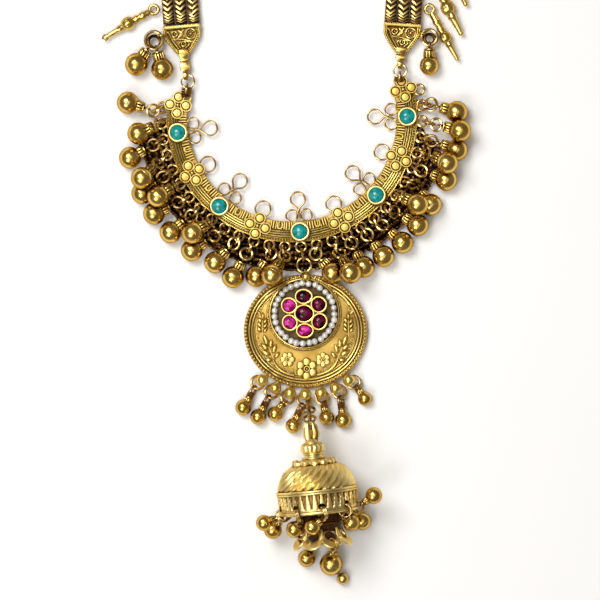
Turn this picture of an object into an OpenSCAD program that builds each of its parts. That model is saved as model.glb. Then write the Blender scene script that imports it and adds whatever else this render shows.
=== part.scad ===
// Folk necklace laid out on a table: a crescent collar with bells round its outer edge, an oval
// pendant with a round well of stones, and a dome-shaped drop below it. Two bundles of three
// strands of chain go up from the collar's terminals and close at the back in a hook.
// X is to the right, Y runs towards the back of the neck, and Z is up from the table.
// Places are worked out round the centre of the collar's circle, then moved onto the origin.

/* [Placing] */
// Shift that puts the middle of the whole layout on the origin, across
layout_x = 1.7; // [-10:0.1:10]
// Shift that puts the middle of the whole layout on the origin, along
layout_y = -6.8; // [-20:0.1:10]

/* [Collar] */
// Radius of the collar's middle line
collar_r = 34.5; // [34:0.1:35]
// Width of the collar's band
collar_w = 6.2; // [6:0.1:6.4]
// Thickness of the collar's plate
collar_t = 1.6; // [1.4:0.1:1.8]
// Direction of the collar's lowest point, in degrees from +X
collar_axis = 274; // [270:1:278]
// Half of the arc that the collar covers, in degrees
collar_half = 102; // [100:1:104]
// Step between two turquoise stones, in degrees
stone_step = 43; // [42:0.5:44]
// Radius of a turquoise stone
turquoise_r = 2.25; // [2:0.05:2.3]
// Height of the stones' collets above the plate
collet_h = 2; // [1.6:0.1:2.2]

/* [Fringe] */
// Step between two eyes of the fringe, in degrees
eye_step = 7; // [6.8:0.1:7.2]
// Radius of the bells' balls
bell_r = 3.3; // [3:0.1:3.4]
// Length from a ball's centre to its eye's centre
bell_l = 6.1; // [6:0.1:6.3]
// Radius of a jump ring, at the middle of its wire
ring_r = 1.8; // [1.7:0.05:1.85]
// Radius of a jump ring's wire
ring_w = 0.33; // [0.3:0.01:0.35]

/* [Pendant] */
// Place of the pendant's centre, across
disc_x = 4.05; // [3.5:0.05:4.5]
// Place of the pendant's centre, along
disc_y = -64.2; // [-65:0.1:-64]
// Half of the pendant's width
disc_a = 18.4; // [18:0.1:18.8]
// Half of the pendant's height
disc_b = 16.95; // [16.8:0.05:17.1]
// Radius of the ring of pearls in the well
pearl_ring_r = 8.8; // [8.7:0.05:8.9]
// Radius of a pearl
pearl_r = 0.72; // [0.6:0.02:0.75]
// Radius of the middle ruby
ruby_big_r = 2.5; // [2.3:0.05:2.6]
// Radius of the rubies round it
ruby_small_r = 2.05; // [1.9:0.05:2.1]

/* [Dome drop] */
// Place of the knuckle under the dome's bail, across
dome_x = 6.15; // [5.5:0.05:6.5]
// Place of the knuckle under the dome's bail, along
dome_y = -98.9; // [-100:0.1:-98]
// Direction that the dome's mouth points to, in degrees from +X
dome_axis = -84; // [-90:1:-78]
// Radius of the dome's ribbed band
band_r = 12.05; // [11.8:0.05:12.2]

/* [Chains] */
// Radius of one strand of chain
strand_r = 1.8; // [1.7:0.05:1.85]
// Spacing of the three strands
strand_pitch = 3.75; // [3.72:0.01:3.8]
// Length of the straight part of each side
arm_l = 80; // [70:1:90]
// Outward lean of the straight parts, in degrees
arm_lean = 4; // [3:0.5:5]

/* [Hidden] */
$fn = 32;

gold = "goldenrod";
up = [0, 0, 1];

// Collar sections
plate_z = 0.6;
plate_top = plate_z + collar_t;
rail_w = 0.45;
inner_r = collar_r - collar_w / 2;
outer_r = collar_r + collar_w / 2;
collet_wall = 0.45;
seat_gap = 0.1;
bowl_r = 1.5;
bowl_offset = 2.4;
bowl_top = plate_top + 0.55;
scroll_w = 0.27;
scroll_z = plate_top - 0.2;

// Eyes and rings of the fringe
eye_r = 1.5;
eye_w = 0.35;
eye_z = 2.05;
eye_orbit = outer_r + 1.4;
bell_eye_r = 0.9;
bell_eye_w = 0.3;
neck_r = 1.6;
ring_hold = ring_r + 0.05;
reach_max = 4.4;
floor_ring_z = 2.4;
floor_link_z = 3.3;
raised_ring_z = 2.8;
raised_link_z = 3.5;

// One row for each bell: eye number from the collar's middle, direction and distance of its ball
// from the collar's centre, height of the ball above the table, the tilt of its second ring, and the
// side to which a slack chain folds
EYE = 0;
BALL_A = 1;
BALL_R = 2;
BALL_Z = 3;
TILT = 4;
FOLD = 5;
bells_left = [
    [-1, 262.8, 47.8, 8.3, 40, 1],
    [-2, 257.4, 48.9, 3.35, 0, 1],
    [-3, 249.8, 51.2, 3.35, 0, 1],
    [-4, 242.2, 49.3, 3.35, 0, 1],
    [-5, 233.2, 50.0, 3.35, 0, 1],
    [-6, 229.6, 45.8, 8.3, 85, 1],
    [-7, 223.6, 50.2, 3.35, 0, 1],
    [-8, 215.2, 50.5, 3.35, 0, 1],
    [-9, 211.0, 46.6, 8.3, 85, 1],
    [-10, 207.1, 50.3, 3.35, 0, 1],
    [-11, 202.6, 48.4, 8.9, 40, 1],
    [-12, 194.3, 50.0, 3.35, 0, 1],
    [-13, 186.4, 46.2, 4.9, 85, 1],
    [-14, 175.2, 49.3, 3.35, 0, 1]];
bells_right = [
    [1, 284.5, 48.4, 5.0, 0, -1],
    [2, 290.4, 49.9, 9.8, 40, 1],
    [3, 295.5, 49.8, 3.35, 0, 1],
    [4, 303.2, 49.9, 3.35, 0, 1],
    [5, 311.2, 50.1, 3.35, 0, 1],
    [6, 319.2, 49.7, 3.35, 0, -1],
    [7, 324.8, 45.8, 9.3, 85, 1],
    [8, 327.6, 49.2, 3.35, 0, 1],
    [9, 337.7, 49.9, 3.35, 0, 1],
    [10, 343.1, 48.3, 8.7, 40, 1],
    [11, 348.5, 50.3, 3.35, 0, 1],
    [12, 355.0, 50.4, 7.0, 40, 1],
    [13, 361.6, 49.3, 3.35, 0, 1]];

// Pendant hanger
hanger_axis = -80.6;
hanger_r = [1.9, 2.1];
hanger_w = 0.35;
hanger_at = [2.55, 5.65, 7.85];
hanger_z = 2.2;

// Oval plate
oval_steps = 72;
disc_z = 0;
well_floor = 1.6;
disc_top = 1.8;
edge_ball_r = 1.4;
edge_ball_z = 4.9;
edge_ball_offset = 2.0;
edge_eye_offset = 1.7;
edge_eye_r = 0.95;
edge_eye_z = 2.15;
edge_step = 13.2;

// Well of stones
well_x = 3.7;
well_y = -58.95;
well_r = 10.1;
well_wall = 0.5;
well_h = 1.3;
ruby_turn = 92;
ruby_orbit = 5.1;
ruby_floor = well_floor + 1.1;
ruby_collet_h = 1.1;
ruby_wall = 0.4;

// Drops on the pendant's lower edge: edge ball number, direction of the ring and of the drop,
// number of rings, and radius of the drop's ball
small_ring_r = 1.9;
second_ring_r = 1.45;
drop_eye_r = 0.8;
drop_eye_w = 0.28;
DROP_AT = 0;
RING_A = 1;
DROP_A = 2;
RINGS = 3;
DROP_R = 4;
disc_drops = [
    [-3, -147, -120, 2, 2.4],
    [-2, -129, -119, 2, 2.35],
    [-1, -115, -127, 1, 2.3],
    [0, -105, -112, 2, 2.3],
    [1, -75, -78, 1, 2.25],
    [2, -50, -82, 2, 2.4],
    [3, -30, -55, 1, 2.1]];

// Dome drop
dome_z = band_r + 0.45;
shell = 0.8;
dome_r = 11.5;
dome_c = 13.5;
flange_at = 3.4;
flange_t = 1.9;
flange_r = 6;
ridge_at = 12.3;
rim_at = 18.8;
rib_r = 0.55;
rib_count = 28;
hole_at = 17.05;
hole_r = 0.95;
hole_turn = 5;
hole_count = 9;
bail_r = 1.9;
bail_w = 0.6;
bail_at = -5.5;
dome_link_count = 5;
rim_ring_r = 1.85;
rim_ring_w = 0.3;
petal_count = 8;
petal_at = 27;
petal_orbit = 7;
petal_flare = 38;
petal_disc_r = 3;
petal_t = 0.8;
petal_hole_r = 1.25;

// Drops on the dome's rim: hole number, lean outwards from the axis, swing round the axis, radius
// of the ball, and distance of the ring's centre from the axis
HOLE = 0;
LEAN = 1;
SWING = 2;
RIM_BALL_R = 3;
RING_ORBIT = 4;
rim_drops = [
    [0, -25, 55, 2.4, 10.9],
    [1, -20, -55, 2.5, 10.9],
    [2, 120, 0, 2.5, 11.35],
    [3, 40, 0, 2.6, 11.3],
    [4, -14, 0, 2, 10.65],
    [5, -16, 25, 2, 10.65],
    [6, 46, 0, 2.7, 11.3],
    [7, 76, 0, 2.4, 11.35],
    [8, -22, 50, 2.5, 10.9]];

// Terminals
terminal_at = [[-33.15, 27.36], [33.15, 27.9]];
terminal_turn = [5, -3.6];
knuckle_l = [15, 12.2];
terminal_w = 10.6;
terminal_h = 8.3;
terminal_foot_w = 3.4;
terminal_z = 0.8;
terminal_t = 1.4;
strap_r = 1.4;
strap_hole_r = 0.9;
strap_w = 1.3;
strap_z = 2.8;

// Chains
arc_span = 90 + arm_lean;
arm_top = [terminal_at[1][0] + arm_l * sin(arm_lean), terminal_at[1][1] + arm_l * cos(arm_lean)];
arc_r = arm_top[0] / cos(arm_lean);
arc_y = arm_top[1] + arc_r * sin(arm_lean);
clasp_gap = 7;
cap_l = 4.5;
clasp_w = 0.9;
clasp_r = 2.2;

function polar(r, a, z) = [r * cos(a), r * sin(a), z];
function unit(v) = v / norm(v);
function flat_azimuth(v) = atan2(v[1], v[0]);
function swing_normal(a) = [-sin(a), cos(a), 0];

module on_table() {
    translate([layout_x, layout_y, 0]) children();
}

// Puts the children's origin at o, their Z along axis and their Y along side
module framed(o, axis, side) {
    z = unit(axis);
    y = unit(side - (side * z) * z);
    x = cross(y, z);
    multmatrix([
        [x[0], y[0], z[0], o[0]],
        [x[1], y[1], z[1], o[1]],
        [x[2], y[2], z[2], o[2]],
        [0, 0, 0, 1]]) children();
}

module torus(r, w) {
    rotate_extrude() translate([r, 0]) circle(w);
}

module arc_wire(r, w, from, to) {
    rotate([0, 0, from]) rotate_extrude(angle = to - from) translate([r, 0]) circle(w);
}

module ring(centre, normal, r, w) {
    n = unit(normal);
    translate(centre) rotate([0, acos(n[2]), flat_azimuth(n)]) torus(r, w);
}

module rod(a, b, r) {
    d = b - a;
    translate(a) rotate([0, acos(d[2] / norm(d)), flat_azimuth(d)]) cylinder(h = norm(d), r = r);
}

// A hollow ball with its neck and its eye, from the ball's centre to the eye's centre
module bell(ball, eye, r, eye_normal, e_r = bell_eye_r, e_w = bell_eye_w, n_r = neck_r) {
    reach = norm(eye - ball);
    framed(ball, eye - ball, eye_normal) {
        sphere(r);
        translate([0, 0, r * 0.8]) cylinder(h = reach - e_r - r * 0.8 + 0.1, r = n_r);
        translate([0, 0, reach]) rotate([90, 0, 0]) torus(e_r, e_w);
    }
}

// Fringe: places worked out from one row of a table
function fringe_eye(row) = polar(eye_orbit, collar_axis + row[EYE] * eye_step, eye_z);
function raised(row) = row[TILT] > 0;
function link_z(row) = raised(row) ? raised_link_z + 0.02 * row[TILT] : floor_link_z;
function link_tilt(row) = row[TILT];
function reach_min(row) = row[TILT] > 60 ? 1.1 : 2.8;
function first_share(row) = max(1.25, reach_of(row) / 2 - 0.05);
function ball_at(row) = polar(row[BALL_R], row[BALL_A], row[BALL_Z]);
function bell_rise(row) = row[BALL_Z] - link_z(row) - ring_hold * sin(link_tilt(row));
function bell_run(row) = ring_hold * cos(link_tilt(row)) + sqrt(pow(bell_l, 2) - pow(bell_rise(row), 2));
function span_to_ball(row) = [for (i = [0:1]) ball_at(row)[i] - fringe_eye(row)[i]];
function reach_of(row) = min(reach_max, max(reach_min(row), norm(span_to_ball(row)) - bell_run(row)));
function fold_cos(row) = let (c = reach_of(row), d = norm(span_to_ball(row)), l = bell_run(row))
    (c * c + d * d - l * l) / (2 * c * d);
function fold_angle(row) = acos(max(-1, min(1, fold_cos(row))));
function chain_a(row) = flat_azimuth(span_to_ball(row)) + row[FOLD] * fold_angle(row);
function link_b(row) = fringe_eye(row) + reach_of(row) * polar(1, chain_a(row), 0)
    + [0, 0, link_z(row) - eye_z];
function link_a(row) = fringe_eye(row) + first_share(row) * polar(1, chain_a(row), 0)
    + [0, 0, (raised(row) ? raised_ring_z : floor_ring_z) - eye_z];
function bell_a(row) = flat_azimuth(ball_at(row) - link_b(row));
function bell_eye(row) = link_b(row) + ring_hold * cos(link_tilt(row)) * polar(1, bell_a(row), 0)
    + [0, 0, ring_hold * sin(link_tilt(row))];

module fringe_links(rows) {
    color(gold) on_table() for (row = rows) {
        ring(link_a(row), swing_normal(chain_a(row)), ring_r, ring_w);
        lean = link_tilt(row);
        ring(link_b(row), polar(-sin(lean), bell_a(row), cos(lean)), ring_r, ring_w);
    }
}

module fringe_bells(rows) {
    color(gold) on_table() for (row = rows) {
        bell(ball_at(row), bell_eye(row), bell_r, swing_normal(bell_a(row)));
    }
}

// Collar
// Four bowls round a granule; the end flowers leave out the bowl where the end eye sits
flower_steps = [-2.32, -1.5, -0.5, 0.5, 1.5, 2.32];
function bowls_of(k) = k < -2 ? [0, 1, 2] : (k > 2 ? [0, 2, 3] : [0, 1, 2, 3]);

module quatrefoil(k) {
    rotate([0, 0, collar_axis + k * stone_step]) translate([collar_r - 0.2, 0, 0]) {
        for (q = bowls_of(k)) rotate([0, 0, q * 90]) translate([bowl_offset, 0, plate_z + 0.1])
            cylinder(h = bowl_top - plate_z - 0.1, r = bowl_r);
        translate([0, 0, plate_top - 0.5]) cylinder(h = 1.2, r = 0.7);
    }
}

module quatrefoil_hollows(k) {
    rotate([0, 0, collar_axis + k * stone_step]) translate([collar_r - 0.2, 0, 0])
        for (q = bowls_of(k)) rotate([0, 0, q * 90]) translate([bowl_offset, 0, bowl_top + 0.7]) sphere(1.35);
}

module collet(r, wall, z, h) {
    translate([0, 0, z]) difference() {
        cylinder(h = h, r = r + wall);
        translate([0, 0, -1]) cylinder(h = h + 2, r = r);
    }
}

// Two small loops and a pear-shaped one of wire, on the collar's inner edge
module wire_trefoil(a) {
    rotate([0, 0, a]) translate([0, 0, scroll_z]) {
        for (side = [-1, 1]) rotate([0, 0, side * 4.1]) translate([29.7, 0, 0]) torus(1.75, scroll_w);
        translate([24.6, 0, 0]) torus(1.95, scroll_w);
        for (side = [-1, 1]) rod([25.8, side * 1.54, side * 0.1], [29.4, side * -0.52, side * 0.1], scroll_w * 0.9);
    }
}

module collar_band() {
    rotate([0, 0, collar_axis - collar_half]) rotate_extrude(angle = 2 * collar_half) {
        translate([inner_r, plate_z]) square([collar_w, collar_t]);
        translate([outer_r - 0.2, plate_top]) circle(rail_w);
        translate([outer_r - 1.5, plate_top]) circle(rail_w * 0.8);
        translate([inner_r + 0.4, plate_top]) circle(rail_w);
        translate([inner_r + 1, 0.1]) square([collar_w - 2, collar_t]);
    }
}

module collar() {
    color(gold) on_table() difference() {
        union() {
            collar_band();
            for (k = [-2:2]) rotate([0, 0, collar_axis + k * stone_step]) translate([collar_r, 0, 0])
                collet(turquoise_r + seat_gap, collet_wall, plate_top - 0.2, collet_h + 0.2);
            for (k = flower_steps) quatrefoil(k);
            for (k = [-2:2]) wire_trefoil(collar_axis + k * stone_step);
            for (k = [-1.5, -0.5, 0.5, 1.5]) rotate([0, 0, collar_axis + k * stone_step])
                translate([28.95, 0, scroll_z]) torus(2.3, scroll_w);
            for (k = [-14:14]) rotate([0, 0, collar_axis + k * eye_step])
                translate([eye_orbit, 0, eye_z]) torus(eye_r, eye_w);
            for (side = [0, 1]) translate(collar_end_eye(side)) torus(eye_r, eye_w);
        }
        for (k = [-2:2]) rotate([0, 0, collar_axis + k * stone_step])
            translate([collar_r, 0, plate_top]) cylinder(h = 9, r = turquoise_r + seat_gap);
        for (k = flower_steps) quatrefoil_hollows(k);
    }
}

end_eye_r = [32.3, 33.9];
function collar_end_eye(side) = let (a = collar_axis + (side == 0 ? -1 : 1) * collar_half,
    along = polar(1.4, a + (side == 0 ? -90 : 90), 0)) polar(end_eye_r[side], a, eye_z) + along;

module turquoise(k) {
    color("darkturquoise") on_table() rotate([0, 0, collar_axis + (k - 3) * stone_step])
        translate([collar_r, 0, plate_top + seat_gap]) intersection() {
            cylinder(h = 9, r = turquoise_r);
            translate([0, 0, -0.6]) sphere(3.2);
        }
}

// Pendant
function on_hanger(d, z) = polar(eye_orbit, collar_axis, z) + polar(d, hanger_axis, 0);

module pendant_links() {
    color(gold) on_table() {
        ring(on_hanger(hanger_at[0], hanger_z + 0.1), swing_normal(hanger_axis), hanger_r[0], hanger_w);
        ring(on_hanger(hanger_at[1], hanger_z), up, hanger_r[1], hanger_w);
    }
}

function oval_points(d) = [for (n = [0:oval_steps - 1])
    [(disc_a - d) * cos(n * 360 / oval_steps), (disc_b - d) * sin(n * 360 / oval_steps)]];

module oval_plate(d, z, h) {
    translate([0, 0, z]) linear_extrude(h) polygon(oval_points(d));
}

module oval_band(d, w, z, h) {
    translate([0, 0, z]) linear_extrude(h) difference() {
        polygon(oval_points(d));
        polygon(oval_points(d + w));
    }
}

function edge_radial(n) = unit([disc_b * cos(-90 + n * edge_step), disc_a * sin(-90 + n * edge_step), 0]);
function edge_point(n, offset, z) = [disc_x, disc_y, z] + offset * edge_radial(n)
    + [disc_a * cos(-90 + n * edge_step), disc_b * sin(-90 + n * edge_step), 0];

module edge_eye(n) {
    rod(edge_point(n, -0.6, 1.45), edge_point(n, 0.95, 1.65), 0.42);
    ring(edge_point(n, edge_eye_offset, edge_eye_z), cross(edge_radial(n), up), edge_eye_r, ring_w);
    translate(edge_point(n, edge_ball_offset, edge_ball_z)) sphere(edge_ball_r);
    rod(edge_point(n, edge_eye_offset + 0.1, edge_eye_z + edge_eye_r), edge_point(n, edge_ball_offset, edge_ball_z - 0.8), 0.42);
}

module flower(x, y, petal, orbit, turn) {
    translate([x, y, disc_top]) {
        for (p = [0:4]) rotate([0, 0, turn + p * 72]) translate([orbit, 0, 0.1]) sphere(petal);
        translate([0, 0, 0.4]) sphere(petal * 0.7);
    }
}

// A leaf is the lens where two circles of radius r cross
module leaf(length, r, h) {
    shift = sqrt(r * r - length * length / 4);
    intersection() {
        translate([length / 2, shift, 0]) cylinder(h = h, r = r);
        translate([length / 2, -shift, -1]) cylinder(h = h + 2, r = r);
    }
}

module spray(x, y, heading, count) {
    translate([x, y, disc_top - 0.1]) rotate([0, 0, heading]) {
        leaf(3.2, 2.1, 0.7);
        for (n = [1:count], side = [-1, 1]) translate([-1.4 * n + 1.4, side * 0.35, 0])
            rotate([0, 0, side * 38]) leaf(2.8, 2, 0.65);
    }
}

function ruby_place(n) = n == 0 ? [well_x, well_y, 0]
    : [well_x, well_y, 0] + polar(ruby_orbit, ruby_turn + (n - 1) * 60, 0);
function ruby_r(n) = n == 0 ? ruby_big_r : ruby_small_r;

module disc_relief() {
    translate([disc_x, disc_y, 0]) {
        oval_band(1.6, 0.55, disc_top - 0.2, 0.5);
        oval_band(2.5, 0.5, disc_top - 0.2, 0.45);
        flower(0.1, -11.6, 0.72, 1.55, 90);
        flower(-5.6, -9.3, 0.6, 1.35, 60);
        flower(5.6, -9.3, 0.6, 1.35, 120);
        spray(-9.4, -5.2, 116, 3);
        spray(9.4, -5.2, 64, 3);
        spray(-13, 2.6, 96, 2);
        spray(13, 2.6, 84, 2);
    }
}

module disc_plate() {
    translate([disc_x, disc_y, 0]) {
        oval_plate(0.3, disc_z, disc_top - disc_z);
        oval_band(0, 1.1, disc_z + 0.4, disc_top - disc_z);
    }
}

module well_wall() {
    translate([well_x, well_y, disc_top - 0.3]) cylinder(h = well_h + 0.3, r = well_r + well_wall);
}

module ruby_seats() {
    translate([well_x, well_y, well_floor - 0.2]) cylinder(h = ruby_floor - well_floor + 0.2, r = 5.4);
    for (n = [0:6]) translate(ruby_place(n) + [0, 0, well_floor - 0.3])
        cylinder(h = ruby_floor + ruby_collet_h - well_floor + 0.3, r = ruby_r(n) + seat_gap + ruby_wall);
}

module hanger_eye() {
    ring(on_hanger(hanger_at[2], edge_eye_z), swing_normal(hanger_axis), edge_eye_r, hanger_w);
    translate(on_hanger(hanger_at[2] + 1.3, 3.35)) sphere(1.35);
}

module pendant_disc() {
    color(gold) on_table() difference() {
        union() {
            difference() {
                union() {
                    disc_plate();
                    disc_relief();
                    well_wall();
                }
                translate([well_x, well_y, well_floor]) cylinder(h = 9, r = well_r);
            }
            ruby_seats();
            for (n = [-3:3]) edge_eye(n);
            hanger_eye();
        }
        for (n = [0:6]) translate(ruby_place(n) + [0, 0, ruby_floor]) cylinder(h = 9, r = ruby_r(n) + seat_gap);
    }
}

module pearl_string() {
    color("ivory") on_table()
        translate([well_x, well_y, well_floor + pearl_r + seat_gap]) torus(pearl_ring_r, pearl_r);
}

// A cut stone: girdle, crown of ten facets and a flat table
module ruby(n) {
    color("crimson") on_table() translate(ruby_place(n) + [0, 0, ruby_floor + seat_gap]) {
        r = ruby_r(n);
        cylinder(h = 0.7, r = r, $fn = 10);
        translate([0, 0, 0.7]) cylinder(h = 0.8, r1 = r, r2 = r * 0.62, $fn = 10);
    }
}

// Drops of the pendant
function drop_eye(row) = edge_point(row[DROP_AT], edge_eye_offset, edge_eye_z);
function drop_ring(row) = drop_eye(row) + polar(small_ring_r, row[RING_A], 0);
function drop_second(row) = drop_ring(row) + polar(small_ring_r + 0.85, row[DROP_A], 0.15);
function drop_hook(row) = row[RINGS] == 1 ? drop_ring(row) + polar(small_ring_r + 0.04, row[DROP_A], 0)
    : drop_second(row) + polar(second_ring_r + 0.05, row[DROP_A], 0);
function drop_ball(row) = let (hook = drop_hook(row))
    [hook[0], hook[1], row[DROP_R] + 0.1] + polar(row[DROP_R] + 1.9, row[DROP_A], 0);

module disc_drop_links() {
    color(gold) on_table() for (row = disc_drops) {
        ring(drop_ring(row), up, small_ring_r, ring_w);
        if (row[RINGS] == 2) ring(drop_second(row), swing_normal(row[DROP_A]), second_ring_r, ring_w);
    }
}

module disc_drop_beads() {
    color(gold) on_table() for (row = disc_drops) {
        bell(drop_ball(row), drop_hook(row), row[DROP_R],
            row[RINGS] == 1 ? swing_normal(row[DROP_A]) : up, drop_eye_r, drop_eye_w, 1.1);
    }
}

// Dome drop
knuckle = [dome_x, dome_y, dome_z];
dome_dir = polar(1, dome_axis, 0);
dome_side = polar(1, dome_axis + 90, 0);
function on_dome(along, r, turn) = knuckle + along * dome_dir
    + r * cos(turn) * up + r * sin(turn) * dome_side;
function dome_radial(turn) = cos(turn) * up + sin(turn) * dome_side;
function dome_tangent(turn) = cross(dome_dir, dome_radial(turn));

// Rings that climb from the pendant's middle ring to the dome's bail
climb_from = drop_ring(disc_drops[3]) + polar(small_ring_r + 0.3, -55, 0.85);
climb_to = on_dome(bail_at - bail_r, -0.6, 0);
climb = climb_to - climb_from;
module dome_links() {
    color(gold) on_table() for (n = [0:dome_link_count - 1]) {
        centre = climb_from + climb * n / (dome_link_count - 1);
        ring(centre, n % 2 == 0 ? swing_normal(flat_azimuth(climb)) : cross(climb, swing_normal(flat_azimuth(climb))),
            ring_r, ring_w);
    }
}

module dome_cap() {
    color(gold) on_table() framed(knuckle, dome_dir, up) difference() {
        union() {
            translate([0, 0, bail_at]) rotate([90, 0, 0]) torus(bail_r, bail_w);
            translate([0, 0, -3.2]) cylinder(h = 2.6, r = 1.3);
            torus(2.45, 1.15);
            translate([0, 0, -0.7]) cylinder(h = 5, r = 2.6);
            translate([0, 0, flange_at]) {
                cylinder(h = flange_t, r = flange_r);
                for (n = [0:11]) rotate([0, 0, n * 30]) translate([flange_r - 0.2, 0, 0.3])
                    cylinder(h = flange_t - 0.6, r = 1.2);
            }
            difference() {
                intersection() {
                    translate([0, 0, dome_c]) sphere(dome_r);
                    translate([0, 0, 5]) cylinder(h = ridge_at - 4.5, r = 20);
                }
                intersection() {
                    translate([0, 0, dome_c]) sphere(dome_r - shell);
                    translate([0, 0, 6]) cylinder(h = 20, r = 20);
                }
            }
            translate([0, 0, ridge_at]) difference() {
                union() {
                    cylinder(h = rim_at - ridge_at, r = band_r - 0.5);
                    cylinder(h = 0.9, r = band_r - 0.1);
                    translate([0, 0, rim_at - ridge_at]) torus(band_r - 0.7, 0.55);
                    for (n = [0:rib_count - 1]) rotate([0, 0, (n + 0.5) * 360 / rib_count])
                        translate([band_r - rib_r, 0, 0.5]) cylinder(h = 4.9, r = rib_r);
                }
                translate([0, 0, -1]) cylinder(h = 20, r = band_r - 0.5 - shell);
            }
        }
        for (n = [0:hole_count - 1]) rotate([0, 0, 90 - hole_turn - n * 360 / hole_count])
            translate([0, 0, hole_at]) rotate([0, 90, 0]) translate([0, 0, 8]) cylinder(h = 8, r = hole_r);
    }
}

// The flower that hangs out of the dome's mouth on its stem
module dome_petals() {
    lean = 90 - petal_flare;
    color(gold) on_table() framed(knuckle, dome_dir, up) difference() {
        union() {
            translate([0, 0, 6.2]) cylinder(h = 15.8, r = 0.9);
            rotate_extrude() polygon([[0, 21.3], [1.6, 21.3], [5.4, 25], [5, 25.7], [1.4, 22.7], [0, 22.7]]);
            for (n = [0:petal_count - 1]) rotate([0, 0, (n + 0.5) * 360 / petal_count])
                translate([petal_orbit, 0, petal_at]) rotate([0, -lean, 0])
                    translate([0, 0, -petal_t / 2]) cylinder(h = petal_t, r = petal_disc_r);
        }
        for (n = [0:petal_count - 1]) rotate([0, 0, (n + 0.5) * 360 / petal_count])
            translate([petal_orbit, 0, petal_at]) rotate([0, -lean, 0])
                translate([0, 0, -2]) cylinder(h = 4, r = petal_hole_r);
    }
}

function hole_angle(row) = hole_turn + row[HOLE] * 360 / hole_count;
function rim_ring(row) = on_dome(hole_at + rim_ring_r - 0.05, row[RING_ORBIT], hole_angle(row));
function lean_dir(row) = cos(row[LEAN]) * dome_dir + sin(row[LEAN]) * dome_radial(hole_angle(row));
function rim_hook(row) = rim_ring(row) + (rim_ring_r + 0.05) * lean_dir(row);
function rim_ball(row) = rim_hook(row) + (row[RIM_BALL_R] + 1.7)
    * (cos(row[SWING]) * lean_dir(row) + sin(row[SWING]) * dome_tangent(hole_angle(row)));

module dome_drop_links() {
    color(gold) on_table() for (row = rim_drops)
        ring(rim_ring(row), dome_tangent(hole_angle(row)), rim_ring_r, rim_ring_w);
}

module dome_drop_beads() {
    color(gold) on_table() for (row = rim_drops)
        bell(rim_ball(row), rim_hook(row), row[RIM_BALL_R],
            cross(dome_tangent(hole_angle(row)), lean_dir(row)), drop_eye_r, drop_eye_w, 1.1);
}

// Drops on the petals that point to the table: petal number, ball's place and radius
petal_ring_r = 1.9;
petal_ring_shift = 2.35;
petal_drops = [
    [5, [4.4, -132.2, 2.7], 2.6],
    [6, [11.7, -133.9, 3.5], 3.4]];
tail_bead = [15.2, -138.4, 1.9];
tail_r = 1.8;
function petal_turn(n) = 90 - (n + 0.5) * 360 / petal_count;
function petal_hole(n) = on_dome(petal_at, petal_orbit, petal_turn(n));
function petal_dir(n) = sin(petal_flare) * dome_radial(petal_turn(n)) + cos(petal_flare) * dome_dir;
function petal_tangent(n) = dome_tangent(petal_turn(n));
function petal_ring_at(row) = petal_hole(row[0]) + petal_ring_shift * petal_dir(row[0]);
function petal_pull(row) = let (w = row[1] - petal_ring_at(row), t = petal_tangent(row[0])) unit(w - (w * t) * t);
function petal_hook(row) = petal_ring_at(row) + (petal_ring_r + 0.05) * petal_pull(row);

module petal_drop_links() {
    color(gold) on_table() for (row = petal_drops)
        ring(petal_ring_at(row), petal_tangent(row[0]), petal_ring_r, rim_ring_w);
}

module petal_drop_beads() {
    color(gold) on_table() {
        for (row = petal_drops) bell(row[1], petal_hook(row), row[2],
            cross(petal_tangent(row[0]), petal_pull(row)), drop_eye_r, drop_eye_w, 1.2);
        rod(petal_drops[1][1], tail_bead, 0.5);
        translate(tail_bead) sphere(tail_r);
    }
}

// Terminals
function shield_points(d) = [
    [-terminal_w / 2 + d, -d],
    [-terminal_w / 2 - 0.1 + d, -3.2 - d * 0.3],
    [-terminal_foot_w / 2 + d, -terminal_h + d],
    [terminal_foot_w / 2 - d, -terminal_h + d],
    [terminal_w / 2 + 0.1 - d, -3.2 - d * 0.3],
    [terminal_w / 2 - d, -d]];

module terminal(side) {
    l = knuckle_l[side];
    out = side == 0 ? -1 : 1;
    color(gold) on_table() translate(terminal_at[side]) rotate([0, 0, terminal_turn[side]])
        translate([0, 0, terminal_z]) {
            difference() {
                union() {
                    linear_extrude(terminal_t) polygon(shield_points(0));
                    translate([0, 0, 0.2]) linear_extrude(terminal_t + 0.2) difference() {
                        polygon(shield_points(-0.15));
                        polygon(shield_points(0.6));
                    }
                    translate([-terminal_w / 2, -0.5, 1.05]) rotate([0, 90, 0]) cylinder(h = terminal_w, r = 0.95);
                    for (s = [-1, 1]) translate([s * 2.85, -2.75, terminal_t]) torus(1.3, 0.3);
                    translate([0, -5.1, terminal_t]) torus(1.1, 0.3);
                }
                for (s = [-1, 1]) translate([s * 2.85, -2.75, -1]) cylinder(h = 4, r = 0.7);
            }
            translate([0, -terminal_h + 0.8, 1.35]) rotate([90, 0, 0]) cylinder(h = l - terminal_h - 0.2, r = 1.1);
            translate([0, -terminal_h - 0.6, 1.35]) rotate([90, 0, 0]) cylinder(h = 0.9, r = 1.5);
            translate([0, -l, strap_z - terminal_z]) rotate([0, 90, 0]) difference() {
                translate([0, 0, -strap_w / 2]) cylinder(h = strap_w, r = strap_r);
                translate([0, 0, -strap_w]) cylinder(h = 2 * strap_w, r = strap_hole_r);
            }
            translate([out * (terminal_w / 2 + 0.9), -2.6, 2.3]) rotate([90, 0, 0]) torus(0.95, 0.33);
        }
}

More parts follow.
